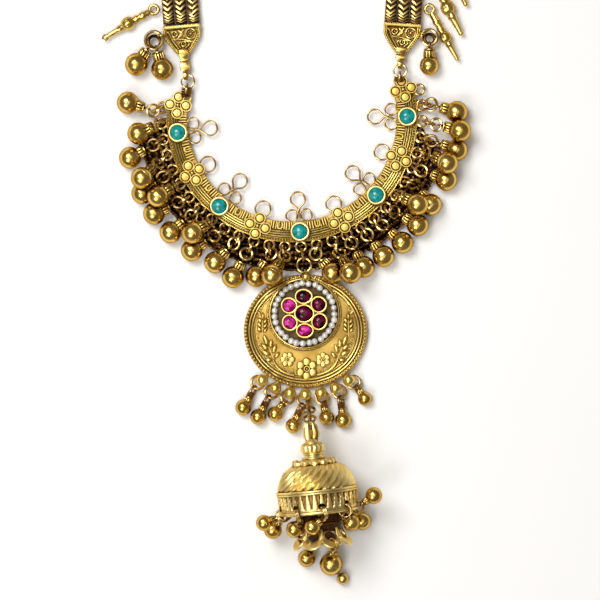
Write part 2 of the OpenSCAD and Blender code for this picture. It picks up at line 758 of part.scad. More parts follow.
function strap_eye(side) = [terminal_at[side][0], terminal_at[side][1], strap_z]
    + knuckle_l[side] * [sin(terminal_turn[side]), -cos(terminal_turn[side]), 0];
function side_eye(side) = let (a = terminal_turn[side], x = (side == 0 ? -1 : 1) * (terminal_w / 2 + 0.9))
    [terminal_at[side][0], terminal_at[side][1], terminal_z + 2.3]
    + x * [cos(a), sin(a), 0] + 2.6 * [sin(a), -cos(a), 0];

// Rings between the collar's ends and the terminals: ring direction from the strap's eye
strap_ring_r = 1.95;
strap_ring_a = [-70, -91];
strap_ring_rise = [0.12, 0.3];
function strap_ring(side) = strap_eye(side) + polar(strap_ring_r, strap_ring_a[side], strap_ring_rise[side]);
end_ring_r = [1.8, 1.4];

module terminal_links() {
    color(gold) on_table() for (side = [0, 1]) {
        ring(strap_ring(side), up, strap_ring_r, ring_w);
        from = collar_end_eye(side);
        to = strap_ring(side);
        a = flat_azimuth(to - from);
        gap = norm([to[0] - from[0], to[1] - from[1]]);
        ring(from + (gap - strap_ring_r + eye_r) / 2 * polar(1, a, 0) + [0, 0, (to[2] - from[2]) / 2],
            swing_normal(a), end_ring_r[side], ring_w);
    }
}

// Bells and pins at the sides: side, direction from the ring's centre, radius, length to the eye
side_ring_r = [2.6, 2.3];
side_ring_a = [-148, -32];
function side_ring(side) = side_eye(side) + polar(side_ring_r[side], side_ring_a[side], 0);
side_bell_rows = [
    [0, -126, 3.4, 6.3],
    [0, -74, 3.3, 6.3],
    [1, -90, 2.9, 6.1]];
function side_hook(row) = side_ring(row[0]) + polar(side_ring_r[row[0]] + 0.05, row[1], 0);
function side_ball(row) = let (hook = side_hook(row)) [hook[0], hook[1], row[2] + 0.05] + polar(row[3], row[1], 0);

module side_links() {
    color(gold) on_table() for (side = [0, 1]) ring(side_ring(side), up, side_ring_r[side], ring_w);
}

module side_bells() {
    color(gold) on_table() for (row = side_bell_rows)
        bell(side_ball(row), side_hook(row), row[2], swing_normal(row[1]));
}

// Pins that lie beside the chains: eye, bead and far end, with the radius of bead, rod and end
pins = [
    [[-41.35, 32.1, 2], [-49.1, 27.9, 2], [-55.9, 23.7, 2], 2, 0.65, 1],
    [[41.2, 32.2, 2], [45.9, 23.8, 2], [49.4, 17.4, 2], 1.75, 0.65, 0.65],
    [[42.2, 41.6, 2.1], [46.6, 32.6, 2.1], [50.6, 25, 2.1], 2.1, 0.8, 0.8],
    [[42.6, 50.6, 2], [47.6, 42.6, 2], [52, 33.8, 2], 1.9, 0.75, 0.75]];
PIN_EYE = 0;
PIN_BEAD = 1;
PIN_END = 2;
PIN_BEAD_R = 3;
PIN_ROD_R = 4;
PIN_END_R = 5;
pin_eye_r = 1.3;

module side_pins() {
    color(gold) on_table() for (pin = pins) {
        along = unit(pin[PIN_BEAD] - pin[PIN_EYE]);
        ring(pin[PIN_EYE], up, pin_eye_r, 0.4);
        rod(pin[PIN_EYE] + (pin_eye_r + 0.1) * along, pin[PIN_BEAD], pin[PIN_ROD_R] * 1.25);
        translate(pin[PIN_BEAD]) sphere(pin[PIN_BEAD_R]);
        rod(pin[PIN_BEAD], pin[PIN_END], pin[PIN_ROD_R]);
        translate(pin[PIN_END]) sphere(pin[PIN_END_R] + 0.05);
    }
}

// Chains: each strand is a straight arm and a part of the arc at the back
cap_turn = asin((clasp_gap + cap_l / 2) / arc_r);
function cap_angle(r) = cap_turn + atan((cap_l / 2 + 0.15) / (r - strand_r));

module chain(side, strand) {
    shift = (strand - 2) * strand_pitch;
    r = arc_r + shift;
    sweep = arc_span - cap_angle(r);
    color("darkgoldenrod") on_table() mirror([side == 0 ? 1 : 0, 0, 0]) {
        foot = [terminal_at[1][0] + shift * cos(arm_lean), terminal_at[1][1] + 0.75 - shift * sin(arm_lean), strand_r + 0.02];
        arm = norm([r * cos(arm_lean) - foot[0], arc_y - r * sin(arm_lean) - foot[1]]);
        rotate_about(foot, -arm_lean) rotate([-90, 0, 0]) cylinder(h = arm - 0.06, r = strand_r);
        translate([0, arc_y, strand_r + 0.02]) arc_wire(r, strand_r, -arm_lean + 0.1, -arm_lean + sweep);
    }
}

module rotate_about(p, a) {
    translate(p) rotate([0, 0, a]) children();
}

// A plain cap that gathers the three strands, with the ring that the hook goes through
cap_w = 2 * (strand_pitch + strand_r);
cap_ring_r = 1.8;
cap_ring_at = cap_l / 2 + 1.3;
module end_cap(side) {
    color(gold) on_table() mirror([side == 0 ? 1 : 0, 0, 0]) translate([0, arc_y, 0])
        rotate([0, 0, -cap_turn]) translate([0, arc_r, 0]) {
            translate([-cap_l / 2, -cap_w / 2, 0.05]) cube([cap_l, cap_w, 2 * strand_r]);
            translate([-cap_ring_at, 0, strand_r]) torus(cap_ring_r, 0.5);
        }
}

// The hook at the back: one piece of wire bent into an S
hook_x = arc_r * sin(cap_turn) - (cap_ring_at + cap_ring_r) * cos(cap_turn);
hook_y = arc_y + arc_r * cos(cap_turn) + (cap_ring_at + cap_ring_r) * sin(cap_turn);
module clasp() {
    color(gold) on_table() translate([0, hook_y, strand_r]) {
        for (side = [0, 180]) rotate([0, 0, side]) translate([hook_x, 0, 0]) rotate([90, 0, 0])
            arc_wire(1.3, 0.42, -178, 140);
        rotate([0, 90, 0]) translate([0, 0, 1.25 - hook_x]) cylinder(h = 2 * hook_x - 2.5, r = 0.45);
    }
}

collar();
turquoise(1);  // turquoise_1
turquoise(2);  // turquoise_2
turquoise(3);  // turquoise_3
turquoise(4);  // turquoise_4
turquoise(5);  // turquoise_5
fringe_bells(bells_left);  // fringe_bells_left
fringe_bells(bells_right);  // fringe_bells_right
fringe_links(bells_left);  // fringe_links_left
fringe_links(bells_right);  // fringe_links_right
pendant_links();
pendant_disc();
pearl_string();
ruby(0);  // ruby_centre
ruby(1);  // ruby_1
ruby(2);  // ruby_2
ruby(3);  // ruby_3
ruby(4);  // ruby_4
ruby(5);  // ruby_5
ruby(6);  // ruby_6
disc_drop_beads();
disc_drop_links();
dome_links();
dome_cap();
dome_petals();
dome_drop_beads();
dome_drop_links();
petal_drop_beads();
petal_drop_links();
terminal(0);  // terminal_left
terminal(1);  // terminal_right
terminal_links();
chain(0, 1);  // chain_left_1
chain(0, 2);  // chain_left_2
chain(0, 3);  // chain_left_3
chain(1, 1);  // chain_right_1
chain(1, 2);  // chain_right_2
chain(1, 3);  // chain_right_3
side_bells();
side_links();
side_pins();
end_cap(0);  // end_cap_left
end_cap(1);  // end_cap_right
clasp();
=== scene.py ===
# Looks of the folk necklace: collar with its bells, round pendant, dome drop and woven chains.
# Places are in millimetres from the centre of the collar's circle; placedMesh moves them into the
# frame. Directions on the table are in degrees.
import bpy, math
import numpy as np
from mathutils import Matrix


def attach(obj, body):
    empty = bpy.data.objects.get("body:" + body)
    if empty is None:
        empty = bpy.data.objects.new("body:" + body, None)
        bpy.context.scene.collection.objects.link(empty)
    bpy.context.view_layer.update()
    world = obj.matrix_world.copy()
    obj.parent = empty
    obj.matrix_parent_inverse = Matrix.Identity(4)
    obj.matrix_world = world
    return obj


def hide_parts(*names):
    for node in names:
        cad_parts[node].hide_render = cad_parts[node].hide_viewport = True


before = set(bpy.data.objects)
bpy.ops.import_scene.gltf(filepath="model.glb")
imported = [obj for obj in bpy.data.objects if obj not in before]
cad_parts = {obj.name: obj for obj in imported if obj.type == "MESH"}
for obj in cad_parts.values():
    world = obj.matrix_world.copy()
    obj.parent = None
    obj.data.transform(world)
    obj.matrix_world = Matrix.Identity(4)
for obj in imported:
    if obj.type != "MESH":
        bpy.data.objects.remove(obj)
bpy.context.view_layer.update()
seeded = np.random.default_rng(11)
layoutShift = np.array([1.7, -6.8, 0.0])
up = np.array([0.0, 0.0, 1.0])
across = np.array([1.0, 0.0, 0.0])
sideNames = ["left", "right"]
print("frame loaded", len(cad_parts), "nodes")


# Vectors and outlines

def unit(v):
    v = np.asarray(v, float)
    return v / np.maximum(np.linalg.norm(v, axis=-1, keepdims=True), 1e-12)


def polar(radius, degrees, z=0.0):
    radius, turn, z = np.broadcast_arrays(radius, np.radians(degrees), z)
    return np.stack([radius * np.cos(turn), radius * np.sin(turn), z], axis=-1).astype(float)


def azimuth(v):
    return np.degrees(np.arctan2(v[..., 1], v[..., 0]))


def swingNormal(degrees):
    return polar(1, np.asarray(degrees) + 90)


# Axes of pieces that stand round the collar: outwards, along it and up
def radialAxes(turns):
    return np.stack([polar(1, turns), polar(1, turns + 90), np.tile(up, (len(turns), 1))], 1)


def axesFrom(axis, side):
    z = unit(axis)
    side = np.asarray(side, float)
    y = unit(side - np.sum(side * z, -1, keepdims=True) * z)
    return np.cross(y, z), y, z


def fullTurn(count):
    return np.linspace(0, 2 * np.pi, count, endpoint=False)


def ellipse(wide, high, count):
    turn = fullTurn(count)
    return np.stack(np.broadcast_arrays(wide * np.cos(turn), high * np.sin(turn)), -1)


# Height of the lobes round a turn, from 0 between them to 1
def lobed(turn, lobes, power):
    return np.abs(np.cos(0.5 * lobes * turn)) ** power


# Catmull-Rom curve through the points, with an even number of steps between two of them
def smoothPath(points, steps, closed=False):
    p = np.asarray(points, float)
    if closed:
        before, start, end, after = np.roll(p, 1, 0), p, np.roll(p, -1, 0), np.roll(p, -2, 0)
    else:
        longer = np.vstack([2 * p[0] - p[1], p, 2 * p[-1] - p[-2]])
        before, start, end, after = longer[:-3], longer[1:-2], longer[2:-1], longer[3:]
    t = (np.arange(steps) / steps)[None, :, None]
    b, s, e, a = before[:, None], start[:, None], end[:, None], after[:, None]
    second, third = 2 * b - 5 * s + 4 * e - a, 3 * s - b - 3 * e + a
    curve = (0.5 * (2 * s + (e - b) * t + second * t ** 2 + third * t ** 3)).reshape(-1, 3)
    return curve if closed else np.vstack([curve, p[-1]])


# Surfaces on a grid. A part is its points, its quads and the triangles of its poles.

# Each row of points is a loop round the piece; neighbouring loops are joined by quads, and the
# first and last loop by a fan to their pole
def loopGrid(points, poles=None):
    rows, around = points.shape[:2]
    i = np.arange(rows if poles is None else rows - 1)[:, None]
    j = np.arange(around)
    nextI, nextJ = (i + 1) % rows, (j + 1) % around
    quads = np.stack([i * around + j, i * around + nextJ, nextI * around + nextJ, nextI * around + j], -1)
    verts = points.reshape(-1, 3)
    fans = np.zeros((0, 3), int)
    if poles is not None:
        count, last = len(verts), (rows - 1) * around
        verts = np.vstack([verts, poles[0], poles[1]])
        fans = np.vstack([
            np.stack([np.full(around, count), nextJ, j], -1),
            np.stack([np.full(around, count + 1), last + j, last + nextJ], -1)])
    return verts, quads.reshape(-1, 4), fans


# A profile carried along a path: point = path + radius * (profile x * side + profile y * top),
# where side is flat x tangent and top is tangent x side
def carried(path, radius, flat=up, profile=None, sides=8, closed=False):
    path = np.asarray(path, float)
    ahead = unit(np.roll(path, -1, 0) - np.roll(path, 1, 0) if closed else np.gradient(path, axis=0))
    side = unit(np.cross(flat, ahead))
    top = np.cross(ahead, side)
    profile = ellipse(1.0, 1.0, sides) if profile is None else np.asarray(profile, float)
    profile = np.broadcast_to(profile, (len(path),) + profile.shape[-2:])
    reach = np.broadcast_to(np.reshape(radius, (-1, 1, 1)), (len(path), 1, 1)) * profile
    points = path[:, None] + reach[..., :1] * side[:, None] + reach[..., 1:] * top[:, None]
    return loopGrid(points, None if closed else (path[0], path[-1]))


# A wire through some points, smoothed
def vine(points, radius, steps=6, sides=8):
    return carried(smoothPath(points, steps), radius, sides=sides)


# A surface of revolution: radius(row, turn) round an axis, with a pole at each end
def turned(along, radius, origin=(0, 0, 0), axis=up, side=across, around=24, tips=None):
    along, radius, origin = np.asarray(along, float), np.asarray(radius, float), np.asarray(origin, float)
    x, y, z = axesFrom(axis, side)
    turn = fullTurn(around)
    if radius.ndim == 1:
        radius = radius[:, None] * np.ones(around)
    spokes = np.cos(turn)[:, None] * x + np.sin(turn)[:, None] * y
    points = origin + along[:, None, None] * z + radius[..., None] * spokes
    return loopGrid(points, [origin + tip * z for tip in (along[[0, -1]] if tips is None else tips)])


# A ball: radius * sin(polar angle) at -radius * cos(polar angle) along the axis
def ball(centre, radius, axis, rings, around):
    angle = np.pi * (np.arange(rings) + 0.5) / rings
    side = across if abs(unit(axis)[0]) < 0.9 else up
    along, wide = -radius * np.cos(angle), radius * np.sin(angle)
    return turned(along, wide, centre, axis, side, around, (-radius, radius))


# Section of a doubled wire: two round lobes side by side, with a waist between them
def doubledWire(sides=12):
    turn = fullTurn(sides)
    far = 0.45 * np.abs(np.sin(turn)) + np.sqrt(0.3025 - 0.2025 * np.cos(turn) ** 2)
    return np.stack([1.45 * far * np.cos(turn), far * np.sin(turn)], -1)


# Section of some wires laid side by side along a ring's axis, each of them one lobe of |sin|
def wireBundle(lobes):
    y = np.linspace(-1, 1, 4 * lobes + 1)
    x = (0.4 + 0.6 * np.abs(np.sin(0.5 * np.pi * lobes * (y + 1))) ** 0.7) / lobes
    return np.vstack([np.stack([x, y], -1), np.stack([-x, y], -1)[::-1]])


# A ring of wire round its normal
def wireRing(centre, normal, radius, wire, profile=None, around=26, sides=8):
    normal = unit(normal)
    x, y, z = axesFrom(normal, up if abs(normal[2]) < 0.9 else across)
    turn = fullTurn(around)[:, None]
    path = np.asarray(centre, float) + radius * (np.cos(turn) * x + np.sin(turn) * y)
    return carried(path, wire, z, profile, sides, closed=True)


# A closed cord of two twisted wires: an oval section that turns as it goes round
def twistedCord(path, flat, wire, twists, depth):
    along = np.linspace(0, 1, len(path) + 1)[:-1, None]
    swell = 1 - depth + depth * np.cos(2 * (fullTurn(8) - np.pi * twists * along))
    return carried(path, wire, flat, ellipse(swell, swell, 8), closed=True)


# Wire wound round a line: start + t * span + far * (cos, sin) of its turns
def coilPart(start, span, far, turns, wire):
    x, y, z = axesFrom(span, up if abs(unit(span)[2]) < 0.9 else across)
    t = np.linspace(0, 1, 12 * turns + 1)[:, None]
    spin = 2 * np.pi * turns * t
    path = start + t * np.asarray(span) + far * (np.cos(spin) * x + np.sin(spin) * y)
    return carried(path, wire, z, sides=6)


# Copies of one part: origin + size * (the part's points in the copy's own axes)
def copies(part, origins, sizes=1.0, axes=np.eye(3)):
    verts, quads, fans = part
    origins = np.asarray(origins, float).reshape(-1, 1, 3)
    count = len(origins)
    axes = np.broadcast_to(axes, (count, 3, 3))
    sizes = np.broadcast_to(sizes, count)[:, None, None]
    moved = origins + sizes * np.einsum("vk,nkc->nvc", verts, axes)
    step = np.arange(count)[:, None, None] * len(verts)
    return moved.reshape(-1, 3), (quads + step).reshape(-1, 4), (fans + step).reshape(-1, 3)


def joined(parts):
    starts = np.cumsum([0] + [len(verts) for verts, quads, fans in parts[:-1]])
    moved = [(verts, quads + start, fans + start) for (verts, quads, fans), start in zip(parts, starts)]
    return [np.vstack(same) for same in zip(*moved)]


granule = ball((0, 0, 0), 1.0, up, 5, 7)


# Objects

def newObject(name, data):
    made = bpy.data.objects.new(name, data)
    bpy.context.scene.collection.objects.link(made)
    return made


def smoothShaded(mesh):
    mesh.shade_smooth()
    mesh.set_sharp_from_angle(angle=math.radians(38))


def inFrame(verts):
    return (verts + layoutShift) * 0.001


# Puts the parts of each finish into one mesh and gives it to the frame
def placedMesh(name, finishes, replacing=(), smooth=True):
    grouped = [joined(parts) for parts, material in finishes]
    verts, quads, fans = joined(grouped)
    corners = np.concatenate([quads.ravel(), fans.ravel()])
    totals = np.repeat([4, 3], [len(quads), len(fans)])
    which = [np.full(len(part[kind]), n) for kind in [1, 2] for n, part in enumerate(grouped)]
    mesh = bpy.data.meshes.new(name)
    mesh.vertices.add(len(verts))
    mesh.vertices.foreach_set("co", inFrame(verts).ravel())
    mesh.loops.add(len(corners))
    mesh.loops.foreach_set("vertex_index", corners)
    mesh.polygons.add(len(totals))
    mesh.polygons.foreach_set("loop_start", np.cumsum(totals) - totals)
    for parts, material in finishes:
        mesh.materials.append(material)
    mesh.polygons.foreach_set("material_index", np.concatenate(which))
    mesh.update(calc_edges=True)
    if smooth:
        smoothShaded(mesh)
    piece = newObject(name, mesh)
    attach(piece, "root")
    if replacing:
        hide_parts(*replacing)
    return piece


# Finishes

def setInputs(node, values):
    for name, value in values.items():
        node.inputs[name].default_value = value


def newNode(tree, kind, values):
    node = tree.nodes.new("ShaderNode" + kind)
    setInputs(node, values)
    return node


def newMaterial(name, values):
    material = bpy.data.materials.new(name)
    material.use_nodes = True
    shader = material.node_tree.nodes["Principled BSDF"]
    setInputs(shader, values)
    return material, material.node_tree, shader


def grey(v):
    return (v, v, v)


def ramp(tree, source, stops):
    node = tree.nodes.new("ShaderNodeValToRGB")
    tree.links.new(source, node.inputs["Fac"])
    while len(node.color_ramp.elements) < len(stops):
        node.color_ramp.elements.new(0.5)
    for element, (place, colour) in zip(node.color_ramp.elements, stops):
        element.position = place
        element.color = (*colour, 1.0)
    return node.outputs["Color"]


def noiseOn(tree, scale, detail):
    noise = newNode(tree, "TexNoise", {"Scale": scale, "Detail": detail})
    tree.links.new(newNode(tree, "TexCoord", {}).outputs["Object"], noise.inputs["Vector"])
    return noise.outputs["Fac"]


def mottled(tree, scale, stops, detail=3.0):
    return ramp(tree, noiseOn(tree, scale, detail), stops)


# How open a place is within reach of it, in millimetres, from ambient occlusion; the finishes use it to
# paint shade
def openness(tree, tone, reach):
    node = newNode(tree, "AmbientOcclusion", {"Distance": reach * 0.001})
    node.samples = 6
    tree.links.new(tone, node.inputs["Color"])
    return node.outputs


# Gold: two tones in soft patches, browned with painted shade where the metal closes in on itself, with a
# worked surface
def goldFinish(name, bright, deep, shadeBrown, rough, bump, reach=0.9, shadeRange=(0.3, 0.75), edge=(0.7, 0.46, 0.2)):
    material, tree, shader = newMaterial(name, {"Metallic": 1.0, "Specular Tint": (*edge, 1.0)})
    tone = mottled(tree, 170.0, [(0.35, deep), (0.65, bright)])
    # painted shade: where ambient occlusion finds the metal closed in, the base colour is mixed towards a
    # dark brown
    paintedShade = ramp(tree, openness(tree, tone, reach)["AO"], [(shadeRange[0], grey(1.0)), (shadeRange[1], grey(0.0))])
    mix = tree.nodes.new("ShaderNodeMix")
    mix.data_type = "RGBA"
    mix.inputs["B"].default_value = (*shadeBrown, 1.0)
    relief = newNode(tree, "Bump", {"Strength": bump, "Distance": 0.00008})
    worn = mottled(tree, 420.0, [(0.3, grey(rough[0])), (0.7, grey(rough[1]))], 4.0)
    for source, target in [
            (paintedShade, mix.inputs["Factor"]), (tone, mix.inputs["A"]),
            (mix.outputs["Result"], shader.inputs["Base Color"]), (worn, shader.inputs["Roughness"]),
            (noiseOn(tree, 2400.0, 2.0), relief.inputs["Height"]),
            (relief.outputs["Normal"], shader.inputs["Normal"])]:
        tree.links.new(source, target)
    return material


# bright tone, deep tone, brown painted as shade in the recesses, roughness from and to, bump, reach and
# range of the painted shade, tone seen edge-on
goldRows = {
    "collarGold": [(0.94, 0.74, 0.24), (0.84, 0.59, 0.14), (0.14, 0.055, 0.008), (0.24, 0.38), 0.1,
                   0.9, (0.38, 0.88), (0.5, 0.29, 0.09)],
    "combGold": [(0.84, 0.63, 0.185), (0.68, 0.46, 0.1), (0.11, 0.04, 0.005), (0.24, 0.36), 0.1,
                 0.9, (0.38, 0.9), (0.42, 0.22, 0.06)],
    "glossGold": [(0.92, 0.69, 0.22), (0.8, 0.55, 0.14), (0.12, 0.045, 0.006), (0.2, 0.3), 0.05,
                  1.2, (0.38, 0.9), (0.32, 0.14, 0.035)],
    "reliefGold": [(0.88, 0.66, 0.21), (0.76, 0.52, 0.13), (0.1, 0.036, 0.005), (0.3, 0.42), 0.08,
                   0.8, (0.36, 0.86), (0.5, 0.29, 0.09)],
    "discGold": [(0.68, 0.46, 0.115), (0.42, 0.255, 0.055), (0.08, 0.028, 0.005), (0.34, 0.46), 0.5,
                 1.4, (0.4, 0.93), (0.5, 0.29, 0.09)],
    # darker gold painted as shade, for the grooves and holes of the dome band and the ground of the shields
    "paintedShadeGold": [(0.4, 0.22, 0.055), (0.2, 0.095, 0.02), (0.04, 0.014, 0.004), (0.36, 0.5), 0.2],
    # darker gold painted as shade, for the collar band under its comb and wires
    "shadedBandFloor": [(0.62, 0.41, 0.12), (0.4, 0.24, 0.06), (0.06, 0.02, 0.004), (0.34, 0.48), 0.2],
    "bellGold": [(0.87, 0.6, 0.18), (0.66, 0.42, 0.1), (0.08, 0.028, 0.005), (0.19, 0.29), 0.05,
                 2.2, (0.35, 0.88), (0.34, 0.15, 0.04)],
    "ringGold": [(0.9, 0.67, 0.28), (0.64, 0.42, 0.15), (0.07, 0.024, 0.005), (0.2, 0.32), 0.05,
                 0.8, (0.35, 0.8), (0.2, 0.08, 0.02)],
    "palePlate": [(0.99, 0.81, 0.36), (0.96, 0.74, 0.27), (0.28, 0.13, 0.02), (0.32, 0.44), 0.08,
                  1.0, (0.35, 0.82)],
    "bandGold": [(0.99, 0.8, 0.37), (0.94, 0.7, 0.26), (0.16, 0.07, 0.01), (0.3, 0.42), 0.08,
                 1.5, (0.45, 0.96)],
    "chainGold": [(0.76, 0.54, 0.2), (0.54, 0.35, 0.11), (0.1, 0.038, 0.008), (0.3, 0.42), 0.08,
                  0.7, (0.3, 0.8), (0.32, 0.14, 0.04)],
    "collarWire": [(0.72, 0.52, 0.25), (0.52, 0.34, 0.14), (0.2, 0.09, 0.03), (0.24, 0.36), 0.05,
                   0.9, (0.3, 0.75), (0.4, 0.2, 0.07)],
    "darkBronze": [(0.42, 0.25, 0.09), (0.16, 0.08, 0.03), (0.03, 0.01, 0.004), (0.22, 0.38), 0.06],
    "darkLinks": [(0.16, 0.075, 0.022), (0.05, 0.02, 0.007), (0.01, 0.004, 0.001), (0.36, 0.5), 0.05,
                  1.4, (0.4, 0.9)]}
gold = {name: goldFinish(name, *row) for name, row in goldRows.items()}


# A finish whose colour is mottled: scale and stops of the mottling, and the shader's other inputs
def mottledFinish(name, scale, stops, values, detail=3.0):
    material, tree, shader = newMaterial(name, values)
    tree.links.new(mottled(tree, scale, stops, detail), shader.inputs["Base Color"])
    return material


coreInputs = {"Metallic": 0.3, "Roughness": 0.6, "Specular IOR Level": 0.2}
# near-black brown painted as shade: the calyx in the dome's mouth and the cores of the chains
paintedShadeDark = mottledFinish(
    "paintedShadeDark", 500.0, [(0.35, (0.03, 0.01, 0.002)), (0.7, (0.11, 0.045, 0.01))], coreInputs)
# dark brown of the well's floor, painted shade between the collets and the pearls
shadedWellFloor = mottledFinish(
    "shadedWellFloor", 500.0, [(0.35, (0.05, 0.032, 0.014)), (0.7, (0.17, 0.115, 0.045))], coreInputs)
turquoiseStone = mottledFinish(
    "turquoiseStone", 700.0,
    [(0.3, (0.0, 0.13, 0.12)), (0.45, (0.0, 0.27, 0.265)), (0.7, (0.005, 0.43, 0.43))],
    {"Roughness": 0.22, "Coat Weight": 0.4, "Subsurface Weight": 0.1, "Subsurface Scale": 0.001}, 5.0)
pearlSkin = mottledFinish(
    "pearlSkin", 800.0, [(0.3, (0.6, 0.57, 0.52)), (0.6, (0.9, 0.89, 0.86))],
    {"Metallic": 0.25, "Roughness": 0.16, "Coat Weight": 0.6}, 2.0)


# Rubies: ones painted as in shade, wine-dark, and three painted as lit, their foil glowing; brighter patches
# are painted glints, and both darken towards the collet with painted shade
def rubyFinish(name, dark, lit):
    material, tree, shader = newMaterial(name, {"Roughness": 0.05, "Specular IOR Level": 0.3})
    tone = mottled(tree, 520.0, [(0.4, dark), (0.6, lit)], 1.0)
    # painted shade: ambient occlusion darkens the colour towards the collet
    tree.links.new(openness(tree, tone, 1.2)["Color"], shader.inputs["Base Color"])
    return material


rubyShaded = rubyFinish("rubyShaded", (0.012, 0.0, 0.003), (0.16, 0.0, 0.035))
rubyLit = rubyFinish("rubyLit", (0.26, 0.0, 0.08), (0.95, 0.05, 0.5))
print("finishes ready")


# Bells: ball, seam, fluted crown and eye, from the ball's centre to the eye's centre
bell = {"flutes": 10, "groove": 0.26, "crownWide": 1.08, "base": 0.84, "seam": 0.07}
jumpRing = {"radius": 1.8, "wire": 0.43, "hold": 1.85}
# radius and wire of a drop's eye, and radius of its neck
dropNeck, clapperNeck = (0.8, 0.28, 1.1), (0.8, 0.28, 1.2)
# rows of the crown: share of its height, of its width and of the grooves' depth
crownRows = np.array([
    [0, 1.0, 0.6], [0.04, 1.05, 1], [0.14, 1.1, 1], [0.6, 1.04, 1], [0.72, 0.98, 0.9], [0.76, 0.9, 0.2],
    [0.78, 0.96, 0], [0.88, 0.96, 0], [0.9, 0.86, 0], [0.93, 0.5, 0], [1.0, 0.36, 0]])


def bellParts(centre, eye, radius, eyeNormal, eyeRadius=0.9, eyeWire=0.3, neck=1.6):
    x, y, z = axesFrom(eye - centre, eyeNormal)
    base = bell["base"] * radius
    height = np.linalg.norm(eye - centre) - eyeRadius + 0.12 - base
    step, wide, deep = crownRows.T[..., None]
    around = 6 * bell["flutes"]
    ridge = lobed(fullTurn(around), bell["flutes"], 0.5)
    crown = neck * bell["crownWide"] * wide * (1 - bell["groove"] * deep * (1 - ridge))
    return [
        ball(centre, radius, z, 16, 28), turned(base + height * step[:, 0], crown, centre, z, y, around),
        wireRing(centre, z, radius * 0.995, bell["seam"], around=28, sides=6),
        wireRing(eye, y, eyeRadius, eyeWire, around=18)]


# Drops as two pieces: their bells, and their rings with what is wound in dark wire
def placedDrops(names, bells, rings, nodes, coils=()):
    placedMesh(names[0], [(bells, gold["bellGold"])], [nodes[0]])
    wound = [(coils, gold["darkBronze"])] if coils else []
    placedMesh(names[1], [(rings, gold["ringGold"])] + wound, [nodes[1]])


fringe = {
    "eyeStep": 7, "middle": 274, "orbit": 39.0, "length": 6.1, "reachMax": 4.4, "ball": 3.3,
    # eye number, direction and distance of the ball, its height, tilt of the second ring, folding side
    "left": [
        [-1, 262.8, 47.8, 8.3, 40, 1], [-2, 257.4, 48.9, 3.35, 0, 1], [-3, 249.8, 51.2, 3.35, 0, 1],
        [-4, 242.2, 49.3, 3.35, 0, 1], [-5, 233.2, 50.0, 3.35, 0, 1], [-6, 229.6, 45.8, 8.3, 85, 1],
        [-7, 223.6, 50.2, 3.35, 0, 1], [-8, 215.2, 50.5, 3.35, 0, 1], [-9, 211.0, 46.6, 8.3, 85, 1],
        [-10, 207.1, 50.3, 3.35, 0, 1], [-11, 202.6, 48.4, 8.9, 40, 1], [-12, 194.3, 50.0, 3.35, 0, 1],
        [-13, 186.4, 46.2, 4.9, 85, 1], [-14, 175.2, 49.3, 3.35, 0, 1]],
    "right": [
        [1, 284.5, 48.4, 5.0, 0, -1], [2, 290.4, 49.9, 9.8, 40, 1], [3, 295.5, 49.8, 3.35, 0, 1],
        [4, 303.2, 49.9, 3.35, 0, 1], [5, 311.2, 50.1, 3.35, 0, 1], [6, 319.2, 49.7, 3.35, 0, -1],
        [7, 324.8, 45.8, 9.3, 85, 1], [8, 327.6, 49.2, 3.35, 0, 1], [9, 337.7, 49.9, 3.35, 0, 1],
        [10, 343.1, 48.3, 8.7, 40, 1], [11, 348.5, 50.3, 3.35, 0, 1], [12, 355.0, 50.4, 7.0, 40, 1],
        [13, 361.6, 49.3, 3.35, 0, 1]]}


# Where a row's two rings and its bell lie: the second ring's centre is where a circle round the eye
# and one round the ball cross, so slack is taken up by a fold
def fringePlaces(rows):
    k, ballTurn, ballFar, ballZ, tilt, fold = np.array(rows, float).T
    eye = polar(fringe["orbit"], fringe["middle"] + fringe["eyeStep"] * k)
    centre = polar(ballFar, ballTurn, ballZ)
    lean = np.radians(tilt)
    linkZ = np.where(tilt > 0, 3.5 + 0.02 * tilt, 3.3)
    rise = ballZ - linkZ - jumpRing["hold"] * np.sin(lean)
    run = jumpRing["hold"] * np.cos(lean) + np.sqrt(fringe["length"] ** 2 - rise ** 2)
    span = (centre - eye) * [1, 1, 0]
    far = np.linalg.norm(span, axis=1)
    reach = np.minimum(fringe["reachMax"], np.maximum(np.where(tilt > 60, 1.1, 2.8), far - run))
    foldTurn = np.degrees(np.arccos(np.clip((reach ** 2 + far ** 2 - run ** 2) / (2 * reach * far), -1, 1)))
    heading = azimuth(span) + fold * foldTurn
    first = eye + polar(np.maximum(1.25, reach / 2 - 0.05), heading, np.where(tilt > 0, 2.8, 2.4))
    second = eye + polar(reach, heading, linkZ)
    bellTurn = azimuth(centre - second)
    bellEye = second + polar(jumpRing["hold"] * np.cos(lean), bellTurn, jumpRing["hold"] * np.sin(lean))
    rings = [(first, swingNormal(heading)), (second, polar(-np.sin(lean), bellTurn, np.cos(lean)))]
    return centre, bellEye, swingNormal(bellTurn), rings


for side in sideNames:
    centres, bellEyes, bellNormals, rings = fringePlaces(fringe[side])
    bells, links = [], []
    for n, centre in enumerate(centres):
        bells += bellParts(centre, bellEyes[n], fringe["ball"], bellNormals[n])
        for places, normals in rings:
            normal = normals[n] + seeded.normal(0, 0.28, 3)
            links.append(wireRing(places[n], normal, jumpRing["radius"], jumpRing["wire"]))
    names = ["fringeBells" + side.title(), "fringeRings" + side.title()]
    placedDrops(names, bells, links, ["fringe_bells_" + side, "fringe_links_" + side])
